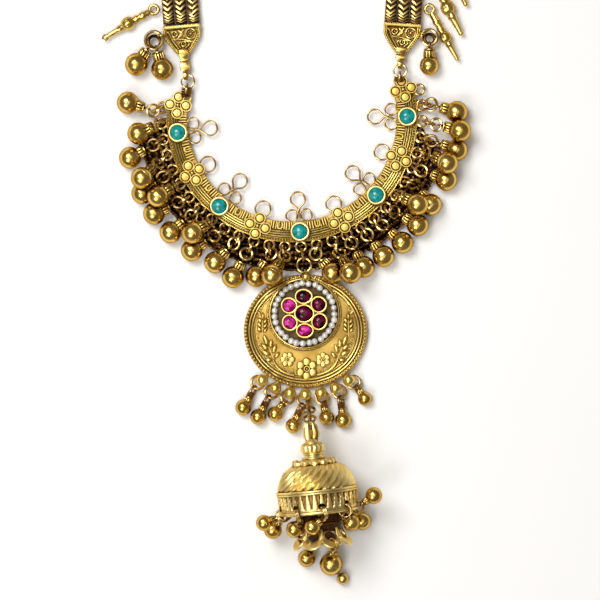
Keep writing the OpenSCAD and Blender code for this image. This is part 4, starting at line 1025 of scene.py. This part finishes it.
# Cusps between the petals: short strips that widen to where two petals meet
for turn in petalTurns + 22.5:
    path = smoothPath([onDome(at, far, turn) for at, far in [(23.9, 6.3), (25.4, 6.9), (27.2, 7.7)]], 4)
    wide = np.linspace(0.3, 1.1, len(path))[:, None]
    petalParts.append(carried(path, 1.0, domeRadial(turn), ellipse(wide, 0.26, 12)))
placedMesh("petalFlower", [
    (shadeCalyxParts, paintedShadeDark), (cordParts, gold["darkBronze"]), (petalParts, gold["palePlate"])],
    ["dome_petals"])

# Drops on the rim: hole, lean outwards, swing, radius of the ball, orbit of the ring
rimDrops = [
    [0, -25, 55, 2.4, 10.9], [1, -20, -55, 2.5, 10.9], [2, 120, 0, 2.5, 11.35], [3, 40, 0, 2.6, 11.3],
    [4, -14, 0, 2, 10.65], [5, -16, 25, 2, 10.65], [6, 46, 0, 2.7, 11.3], [7, 76, 0, 2.4, 11.35],
    [8, -22, 50, 2.5, 10.9]]
rimRing = {"radius": 1.95, "wire": 0.66, "below": 1.8, "hold": 1.9, "neck": 1.7}
rimBells, rimRings, rimCoils = [], [], []
for number, leanTurn, swing, radius, orbit in rimDrops:
    turn = hole["turn"] + number * 360 / hole["count"]
    radial, tangent, slope = petalAxes(turn)
    lean, swing = math.radians(leanTurn), math.radians(swing)
    ring = onDome(hole["at"] + rimRing["below"], orbit, turn)
    leanDir = math.cos(lean) * domeDir + math.sin(lean) * radial
    hook = ring + rimRing["hold"] * leanDir
    reach = radius + rimRing["neck"]
    centre = hook + reach * (math.cos(swing) * leanDir + math.sin(swing) * tangent)
    tilted = tangent + 0.45 * radial + 0.2 * domeDir
    rimRings.append(wireRing(ring, tilted, rimRing["radius"], rimRing["wire"], wireBundle(3)))
    rimCoils.append(coilPart(hook - 0.3 * leanDir, unit(centre - hook) * 1.7, 0.7, 4, 0.28))
    rimBells += bellParts(centre, hook, radius, np.cross(tangent, leanDir), *dropNeck)
names = ["rimDrops", "rimDropRings"]
placedDrops(names, rimBells, rimRings, ["dome_drop_beads", "dome_drop_links"], rimCoils)

# Clappers on two petals, two more rings of the petals, and the tail bead on the last clapper
petalRing = {"radius": 1.9, "wire": 0.72, "looseWire": 0.62, "out": 2.35, "hold": 1.95}
petalBells, petalRings = [], []
clappers = [[5, np.array([4.4, -132.2, 2.7]), 2.6], [6, np.array([11.7, -133.9, 3.5]), 3.4]]
for number, spot, radius in clappers:
    radial, tangent, slope = petalAxes(petalTurns[number])
    ring = onDome(petal["at"], petal["orbit"], petalTurns[number]) + petalRing["out"] * slope
    pull = spot - ring
    pull = unit(pull - np.dot(pull, tangent) * tangent)
    hook = ring + petalRing["hold"] * pull
    petalRings.append(wireRing(ring, tangent, petalRing["radius"], petalRing["wire"], wireBundle(3)))
    petalBells += bellParts(spot, hook, radius, np.cross(tangent, pull), *clapperNeck)
# turn, orbit, distance down the slope, and how much of its normal is slope, radial and tangent
for turn, orbit, out, share in [(-45.0, 7.6, 0.0, (1, 0.25, 0)), (22.5, 7.0, 2.1, (0, 0.3, 1))]:
    radial, tangent, slope = petalAxes(turn)
    normal = share[0] * slope + share[1] * radial + share[2] * tangent
    ring = onDome(petal["at"], orbit, turn) + out * slope
    petalRings.append(wireRing(ring, normal, petalRing["radius"], petalRing["looseWire"], wireBundle(3)))
start, tail = clappers[-1][1], np.array([15.2, -138.4, 1.9])
petalBells += [ball(tail, 1.8, tail - start, 12, 20), carried([start, (start + tail) / 2, tail], 0.5)]
names = ["petalDrops", "petalDropRings"]
placedDrops(names, petalBells, petalRings, ["petal_drop_beads", "petal_drop_links"])

# Rings that climb from the pendant's middle drop to the bail, each second one turned on its side
climbRing = {"steps": 4, "radius": 1.8, "wire": 0.42, "tilt": [0.3, 0.1, 0.2]}
climb = onDome(dome["bail"] - dome["bailRing"], -0.6, 0) - domeHook
flatNormal = swingNormal(azimuth(climb))
climbRings = []
for n in range(climbRing["steps"] + 1):
    spot = domeHook + climb * n / climbRing["steps"]
    normal = flatNormal if n % 2 == 0 else np.cross(climb, flatNormal)
    climbRings.append(wireRing(spot, normal + climbRing["tilt"], climbRing["radius"], climbRing["wire"]))
placedMesh("domeRings", [(climbRings, gold["ringGold"])], ["dome_links"])
print("dome drop made")


# Terminals: shields with a roll at the top, filigree and a folded strap below
terminal = {
    "at": [np.array([-33.15, 27.36, 0.0]), np.array([33.15, 27.9, 0.0])], "turn": [5, -3.6],
    "strap": [15, 12.2], "strapFrom": 7.2, "strapGap": 1.4, "strapZ": 2.15, "strapEyeZ": 2.8,
    "middle": np.array([0, -3.6]), "sideEye": (6.2, -2.6, 3.1),
    # x, y and radius of the ringed scrolls, and the points of the vines
    "scrolls": [(2.6, -2.75, 1.5), (-2.2, -2.5, 0.8), (0.3, -5.6, 0.7)],
    "vines": [
        [[-4.4, -1.5], [-3.6, -2.6], [-3.0, -4.2], [-2.0, -5.9], [-1.2, -7.2]],
        [[-0.9, -1.5], [0.1, -2.6], [-1.4, -3.9], [-3.0, -3.9]], [[-1.2, -3.7], [0.6, -1.4]],
        [[-2.6, -4.3], [-0.8, -4.1], [1.2, -4.5], [2.6, -5.0], [3.6, -5.0]],
        [[0.8, -6.9], [1.9, -5.9], [1.6, -5.0], [0.6, -4.7]], [[-0.7, -6.8], [-1.2, -5.6], [-0.4, -4.9]]]}


def terminalPoint(side, x, y, z):
    turn = math.radians(terminal["turn"][side])
    x, y, z = np.broadcast_arrays(x, y, z)
    return terminal["at"][side] + np.stack([
        x * math.cos(turn) - y * math.sin(turn), x * math.sin(turn) + y * math.cos(turn), z], -1)


def terminalPoints(side, flat, z):
    return terminalPoint(side, flat[..., 0], flat[..., 1], z)


# The eye beside a shield, where the side ring hangs
def sideEye(side):
    x, y, z = terminal["sideEye"]
    return terminalPoint(side, [-x, x][side], y, z)


halfShield = np.array([[0, -8.5], [1.9, -8.3], [3.6, -6.2], [5.3, -3.4], [5.45, -1.6], [5.3, 0], [2.6, 0.1]])
shield = np.vstack([halfShield, [0, 0.1], halfShield[:0:-1] * [-1, 1]])
shieldLoop = smoothPath(np.hstack([shield, np.zeros((len(shield), 1))]), 5, closed=True)[:, :2]
# rows of the shield's side and top: share of its outline, and height
shieldShrink = np.array([0.8, 0.97, 1.0, 1.0, 0.97, 0.93, 0.9, 0.86, 0.5])[:, None, None]
shieldRise = np.array([0.8, 0.82, 1.0, 2.2, 2.5, 2.45, 2.1, 2.0, 2.05])[:, None]
# half-widths of the strap from the shield to its eye, its section, and the section of the eye
strapSwell = (
    [0, 0.06, 0.14, 0.3, 0.46, 0.54, 0.66, 0.84, 1], [1.3, 1.5, 1.56, 1.46, 1.2, 1.2, 1.44, 1.5, 1.36])
strapSection = [[1, -0.55], [0.85, -0.8], [-0.85, -0.8], [-1, -0.55], [-1, 0.4], [-0.86, 0.6], [-0.45, 0.66],
                [0, 0.68], [0.45, 0.66], [0.86, 0.6], [1, 0.4]]
eyeSection = np.array([
    [1, -0.9], [0.8, -1], [-0.8, -1], [-1, -0.9], [-1, 0.9], [-0.8, 1], [0.8, 1], [1, 0.9]]) * [0.25, 0.65]


def shrunkShield(share):
    return terminal["middle"] + share * (shieldLoop - terminal["middle"])


# Direction of a shield's own x or y on the table
def terminalWay(side, x, y):
    return terminalPoint(side, x, y, 0) - terminal["at"][side]


def shieldPlate(side):
    ends = [terminalPoints(side, terminal["middle"], z) for z in (0.8, 2.05)]
    return loopGrid(terminalPoints(side, shrunkShield(shieldShrink), shieldRise), ends)


# Beaded and plain borders, roll, ringed scrolls, vines, granules and the eye of a shield
def filigree(side):
    parts = [
        copies(granule, terminalPoints(side, shrunkShield(0.955), 2.45), 0.42),
        carried(terminalPoints(side, shrunkShield(0.85), 2.4), 0.3, closed=True),
        carried(terminalPoint(side, np.linspace(-5.3, 5.3, 48), -0.4, 1.95), 0.85, sides=12)]
    for x, y, radius in terminal["scrolls"]:
        parts.append(wireRing(terminalPoint(side, x, y, 2.45), up, radius, 0.25, around=24))
        parts.append(ball(terminalPoint(side, x, y, 2.3), 0.34 * radius, up, 7, 12))
    x, y, radius = terminal["scrolls"][0]
    parts.append(copies(granule, terminalPoint(side, x, y, 2.3) + polar(0.85, 45 + 90 * np.arange(4)), 0.34))
    parts += [vine(terminalPoints(side, np.array(points), 2.4), 0.27) for points in terminal["vines"]]
    spots = seeded.uniform([-3.8, -6.0], [3.8, -1.6], (22, 2))
    spots = spots[np.abs(spots[:, 0]) < 4.2 + 0.55 * (spots[:, 1] + 2)]
    parts.append(copies(granule, terminalPoints(side, spots, 2.15), 0.25))
    parts.append(wireRing(sideEye(side), terminalWay(side, 0, 1), 0.95, 0.33, around=20))
    return parts


def strapEye(side):
    return terminalPoint(side, 0, -terminal["strap"][side], terminal["strapEyeZ"])


# Strap: a folded band with a waist between its two knuckles, and its eye
def strapParts(side):
    t = np.linspace(0, 1, 26)
    length = terminal["strap"][side] - terminal["strapFrom"] - terminal["strapGap"]
    wave = 0.16 * np.cos(2 * np.pi * (t - 0.14) / 0.7)
    path = terminalPoint(side, 0, -terminal["strapFrom"] - length * t, terminal["strapZ"] + wave)
    return [
        carried(path, np.interp(t, *strapSwell), profile=strapSection),
        wireRing(strapEye(side), terminalWay(side, 1, 0), 1.15, 1.0, eyeSection, around=24)]


for side, name in enumerate(sideNames):
    # the shield's plate under the filigree is painted dark, as shade
    placedMesh("terminalShield" + name.title(), [
        ([shieldPlate(side)], gold["paintedShadeGold"]), (filigree(side), gold["collarGold"]),
        (strapParts(side), gold["bellGold"])], ["terminal_" + name])

# Rings between the terminals and the collar, the lower one wound with wire
endRing = {"radius": 1.95, "turn": [-70, -91], "rise": [0.12, 0.3], "wire": 0.33, "links": [1.8, 1.4]}
terminalRings, woundLinks = [], []
for side in [0, 1]:
    ring = strapEye(side) + polar(endRing["radius"], endRing["turn"][side], endRing["rise"][side])
    start = collarEndEye(side)
    heading = azimuth(ring - start)
    gap = np.linalg.norm((ring - start)[:2])
    middle = start + polar((gap - 0.45) / 2, heading, (ring[2] - start[2]) / 2)
    terminalRings += [
        wireRing(ring, up, endRing["radius"], endRing["wire"], doubledWire()),
        wireRing(middle, swingNormal(heading), endRing["links"][side], endRing["wire"], doubledWire())]
    span = polar(gap - 1.9, heading, 0.3)
    woundLinks.append(coilPart(start + polar(0.1, heading, 0.25), span, 1.35, 4, 0.3))
placedMesh("terminalRings", [
    (terminalRings, gold["ringGold"]), (woundLinks, gold["darkBronze"])], ["terminal_links"])

# Side rings with a dark ring in each
sideRadii, sideTurns = [2.6, 2.3], [-148, -32]
sideSpots = [sideEye(side) + polar(sideRadii[side], sideTurns[side]) for side in [0, 1]]
sideRings = [wireRing(spot, up, r, 0.5, around=32) for spot, r in zip(sideSpots, sideRadii)]
innerRings = [
    wireRing(spot + [0.1, -0.5, -0.3], [0.25, 0.2, 1], r - 0.75, 0.5, around=28)
    for spot, r in zip(sideSpots, sideRadii)]
placedMesh("sideRings", [
    (sideRings, gold["ringGold"]), (innerRings, gold["darkLinks"])], ["side_links"])

# Their bells: side, direction, radius and distance of the ball
sideBells = []
for side, turn, radius, length in [[0, -126, 3.4, 6.3], [0, -74, 3.3, 6.3], [1, -90, 2.9, 6.1]]:
    hook = sideSpots[side] + polar(sideRadii[side] + 0.05, turn)
    centre = hook * [1, 1, 0] + polar(length, turn, radius + 0.05)
    sideBells += bellParts(centre, hook, radius, swingNormal(turn))
placedMesh("sideBells", [(sideBells, gold["bellGold"])], ["side_bells"])

# Pins. Each has its eye, bead and far end, and the radii of its bead, rod and end
pins = [
    [[-41.35, 32.1, 2], [-49.1, 27.9, 2], [-55.9, 23.7, 2], 2, 0.65, 1],
    [[41.2, 32.2, 2], [45.9, 23.8, 2], [49.4, 17.4, 2], 1.75, 0.65, 0.65],
    [[42.2, 41.6, 2.1], [46.6, 32.6, 2.1], [50.6, 25, 2.1], 2.1, 0.8, 0.8],
    [[42.6, 50.6, 2], [47.6, 42.6, 2], [52, 33.8, 2], 1.9, 0.75, 0.75]]
# share of the stem's length and of the rod's radius, and the same for the rod beyond the bead
stemRows = np.array([
    [0, 1.1], [0.1, 1.6], [0.2, 1.5], [0.24, 1.85], [0.3, 1.9], [0.36, 1.5], [0.4, 1.45],
    [0.5, 1.75], [0.55, 1.8], [0.6, 1.45], [0.64, 1.5]]).T
taperRows = ([0, 0.3, 0.36, 0.42, 0.7, 1], [1.7, 1.4, 1.8, 1.35, 1.15, 0.85])
pinEye = 1.3
angle = np.radians(np.linspace(14, 166, 13))
flute = 0.93 + 0.09 * lobed(fullTurn(40), 8, 1)
t = np.linspace(0, 1, 12)
pinParts, pinEyes = [], []
for eye, bead, end, beadRadius, rodRadius, endRadius in pins:
    eye, bead, end = np.array([eye, bead, end])
    axis, rod = unit(bead - eye), end - bead
    stemLong = np.linalg.norm(bead - eye) - pinEye - beadRadius * 0.9
    stemAlong = pinEye + stemRows[0] / stemRows[0, -1] * stemLong
    pinEyes.append(wireRing(eye, up, pinEye, 0.52, around=22, sides=10))
    beadRadii = beadRadius * np.sin(angle)[:, None] * flute
    ringEnd = endRadius > 0.9
    pinParts += [
        turned(stemAlong, rodRadius * stemRows[1], eye, axis, up, 16),
        turned(-beadRadius * 1.12 * np.cos(angle), beadRadii, bead, axis, up, 40),
        turned(t * np.linalg.norm(rod), rodRadius * np.interp(t, *taperRows), bead, rod, up, 14),
        wireRing(end, up, 0.8, 0.28, around=18) if ringEnd else ball(end, endRadius + 0.05, rod, 8, 14)]
placedMesh("sidePins", [(pinParts, gold["glossGold"]), (pinEyes, gold["ringGold"])], ["side_pins"])
print("terminals and side pieces made")


# Chains: V-shaped links of wire round a near-black core painted as the shade between them, one strand after
# another
chain = {"strand": 1.8, "pitch": 3.75, "arm": 80, "lean": math.radians(4), "linkPitch": 1.6, "wire": 0.44,
         "steep": 1.05, "points": 12, "shadeCore": (1.7, 1.24)}
cap = {"half": 2.25, "gap": 0.15, "at": 9.25, "rise": 3.5, "cords": 1.75, "ring": 1.8, "ringAt": 3.55}
leanSin, leanCos = math.sin(chain["lean"]), math.cos(chain["lean"])
armTop = terminal["at"][1][:2] + chain["arm"] * np.array([leanSin, leanCos])
arcRadius = armTop[0] / leanCos
arcY = armTop[1] + arcRadius * leanSin
capTurn = math.degrees(math.asin(cap["at"] / arcRadius))


# Foot, length of the straight arm and radius of the bend of a strand, on the right-hand side
def strandRoute(shift):
    radius = arcRadius + shift
    foot = terminal["at"][1][:2] + [shift * leanCos, 0.75 - shift * leanSin]
    return foot, math.hypot(radius * leanCos - foot[0], arcY - radius * leanSin - foot[1]), radius


# Place and direction on a strand: a straight arm and then part of the circle at the back
def strandPlaces(side, shift, spots):
    foot, arm, radius = strandRoute(shift)
    mirror = [[-1, 1, 1], [1, 1, 1]][side]
    turn = np.maximum(spots - arm, 0) / radius - chain["lean"]
    bent = np.stack([radius * np.cos(turn), arcY + radius * np.sin(turn)], -1)
    straight = np.minimum(spots, arm)[:, None] * [leanSin, leanCos] + foot
    flat = np.where((spots < arm)[:, None], straight, bent)
    place = np.hstack([flat, np.full((len(spots), 1), chain["strand"] + 0.02)])
    return place * mirror, np.stack([-np.sin(turn), np.cos(turn), 0 * turn], -1) * mirror


def strandLength(shift):
    foot, arm, radius = strandRoute(shift)
    capHalf = math.atan((cap["half"] + cap["gap"]) / (radius - chain["strand"]))
    return arm + radius * (math.pi / 2 + chain["lean"] - math.radians(capTurn) - capHalf)


# One link: a ring round the strand, x = R cos t and z = R sin t with the corners drawn out, and
# drawn forward by steep * |x|
turn = fullTurn(chain["points"])
ringFar = chain["strand"] - 0.05 - chain["wire"]
linkX = (ringFar + 0.12) * np.sign(np.cos(turn)) * np.abs(np.cos(turn)) ** 0.7
linkZ = ringFar * np.sign(np.sin(turn)) * np.abs(np.sin(turn)) ** 0.4
linkPath = np.stack([linkX, chain["steep"] * np.abs(linkX), linkZ], -1)
linkFlat = np.stack([np.cos(turn), 0 * turn, np.sin(turn)], -1)
chainLink = carried(linkPath, chain["wire"], linkFlat, sides=5, closed=True)
# the first links lie close together and are drawn forward less
firstSpots, firstDepths = [-0.5, 0.1, 0.85], [0.45, 0.6, 0.8]
for side, name in enumerate(sideNames):
    for strand in [1, 2, 3]:
        shift = (strand - 2) * chain["pitch"]
        length = strandLength(shift)
        spots = np.arange(0.1, length - chain["steep"] * ringFar - 0.35, chain["linkPitch"])
        spots = np.concatenate([firstSpots, spots[1:]])
        depth = np.concatenate([firstDepths, np.ones(len(spots) - 3)])[:, None]
        place, ahead = strandPlaces(side, shift, spots)
        sideways = np.cross(ahead, up)
        roll = seeded.normal(0, 0.1, (len(place), 1))
        rolledSide = np.cos(roll) * sideways + np.sin(roll) * up
        rolledUp = np.cos(roll) * up - np.sin(roll) * sideways
        axes = np.stack([rolledSide, depth * ahead, rolledUp], 1)
        links = copies(chainLink, place, seeded.uniform(0.94, 1.0, len(place)), axes)
        # a near-black core under the links, painted shade in the gaps
        shadeCorePlace = strandPlaces(side, shift, np.linspace(-0.7, length - 0.2, 90))[0]
        shadeCore = carried(shadeCorePlace, 1.0, profile=ellipse(*chain["shadeCore"], 12))
        placedMesh("chain%s%d" % (name.title(), strand), [([links], gold["chainGold"]), ([shadeCore], paintedShadeDark)],
                   ["chain_%s_%d" % (name, strand)])

# Caps that gather the strands: a rounded block with a corded border at each end, a row of granules
# and a flower on top, and the ring of the hook
blockHalf = np.array([[5.1, 0.15], [5.45, 0.5], [5.45, 3.2], [5.1, 3.5]])
blockSection = np.vstack([blockHalf, blockHalf[::-1] * [-1, 1]])
borderSection = np.array([
    [-4.9, 0.4], [0, 0.38], [4.9, 0.4], [5.2, 0.9], [5.2, 2.8], [4.9, 3.34], [0, 3.36], [-4.9, 3.34],
    [-5.2, 2.8], [-5.2, 0.9]])


def endCapParts(side):
    turn = math.radians(90 - capTurn)
    mirror = np.array([[-1, 1, 1], [1, 1, 1]][side])
    middle = np.array([arcRadius * math.cos(turn), arcY + arcRadius * math.sin(turn), 0]) * mirror
    forward = np.array([math.sin(turn), -math.cos(turn), 0]) * mirror
    outward = np.array([math.cos(turn), math.sin(turn), 0]) * mirror
    long = cap["half"] - np.array([4.5, 4.35, 0.15, 0])
    capParts = [carried(middle + long[:, None] * forward, [0.96, 1, 1, 0.96], profile=blockSection)]
    for x in [-cap["cords"], cap["cords"]]:
        border = middle + x * forward + borderSection[:, :1] * outward + borderSection[:, 1:] * up
        capParts.append(twistedCord(smoothPath(border, 10, closed=True), forward, 0.34, 40, 0.22))
    for y in np.linspace(-4.4, 4.4, 9):
        size = 0.36 if abs(y) > 1.5 else 0.5
        capParts.append(ball(middle + y * outward + cap["rise"] * up, size, up, 6, 10))
    ring = middle - cap["ringAt"] * forward + cap["ring"] * up
    return capParts + [
        wireRing(middle + (cap["rise"] + 0.05) * up, up, 1.05, 0.2, around=24, sides=6),
        wireRing(ring, up, cap["ring"], 0.5, around=32, sides=10)]


for side, name in enumerate(sideNames):
    parts = [(endCapParts(side), gold["collarGold"])]
    placedMesh("endCap" + name.title(), parts, ["end_cap_" + name])

# The hook of the clasp keeps the shape it is loaded with
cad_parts["clasp"].data.materials.clear()
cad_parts["clasp"].data.materials.append(gold["ringGold"])
print("chains made")


# Floor, light and camera
studio = {"middle": (0.004, -0.062, 0.0), "floor": 2, "world": 0.17, "sky": (1.0, 0.89, 0.72, 1.0)}
far, low = studio["floor"], -0.0001
floorCorners = [(-far, -far, low), (far, -far, low), (far, far, low), (-far, far, low)]
floorMesh = bpy.data.meshes.new("tableTop")
floorMesh.from_pydata(floorCorners, [], [(0, 1, 2, 3)])
paper = mottledFinish("paper", 9.0, [(0.3, grey(0.955)), (0.7, grey(0.975))], {"Roughness": 0.7})
floorMesh.materials.append(paper)
newObject("tableTop", floorMesh)

# name, place, side length in metres, radiance
lamps = [
    ["keyBox", (-0.34, 0.3, 0.85), 0.44, 10.0], ["fillBox", (-0.34, -0.5, 0.8), 0.38, 6.5],
    ["topBox", (-0.1, 0.0, 1.6), 1.2, 1.15]]
for name, place, size, radiance in lamps:
    lamp = bpy.data.lights.new(name, "AREA")
    lamp.shape = "SQUARE"
    lamp.size = size
    lamp.energy = radiance * math.pi * size * size
    lampObject = newObject(name, lamp)
    x, y, z = np.array(place) - studio["middle"]
    lampObject.location = place
    lampObject.rotation_euler = (math.atan2(math.hypot(x, y), z), 0, math.atan2(y, x) + math.pi / 2)
world = bpy.data.worlds.new("studioWorld")
world.use_nodes = True
setInputs(world.node_tree.nodes["Background"], {"Color": studio["sky"], "Strength": studio["world"]})
bpy.context.scene.world = world
bpy.context.scene.view_settings.view_transform = "Standard"

camera = bpy.data.cameras.new("photoCamera")
camera.sensor_width = 36
camera.lens = 240
camera.clip_end = 10
cameraObject = newObject("photoCamera", camera)
cameraObject.location = (0.0041, -0.0617, 1.2)
bpy.context.scene.camera = cameraObject
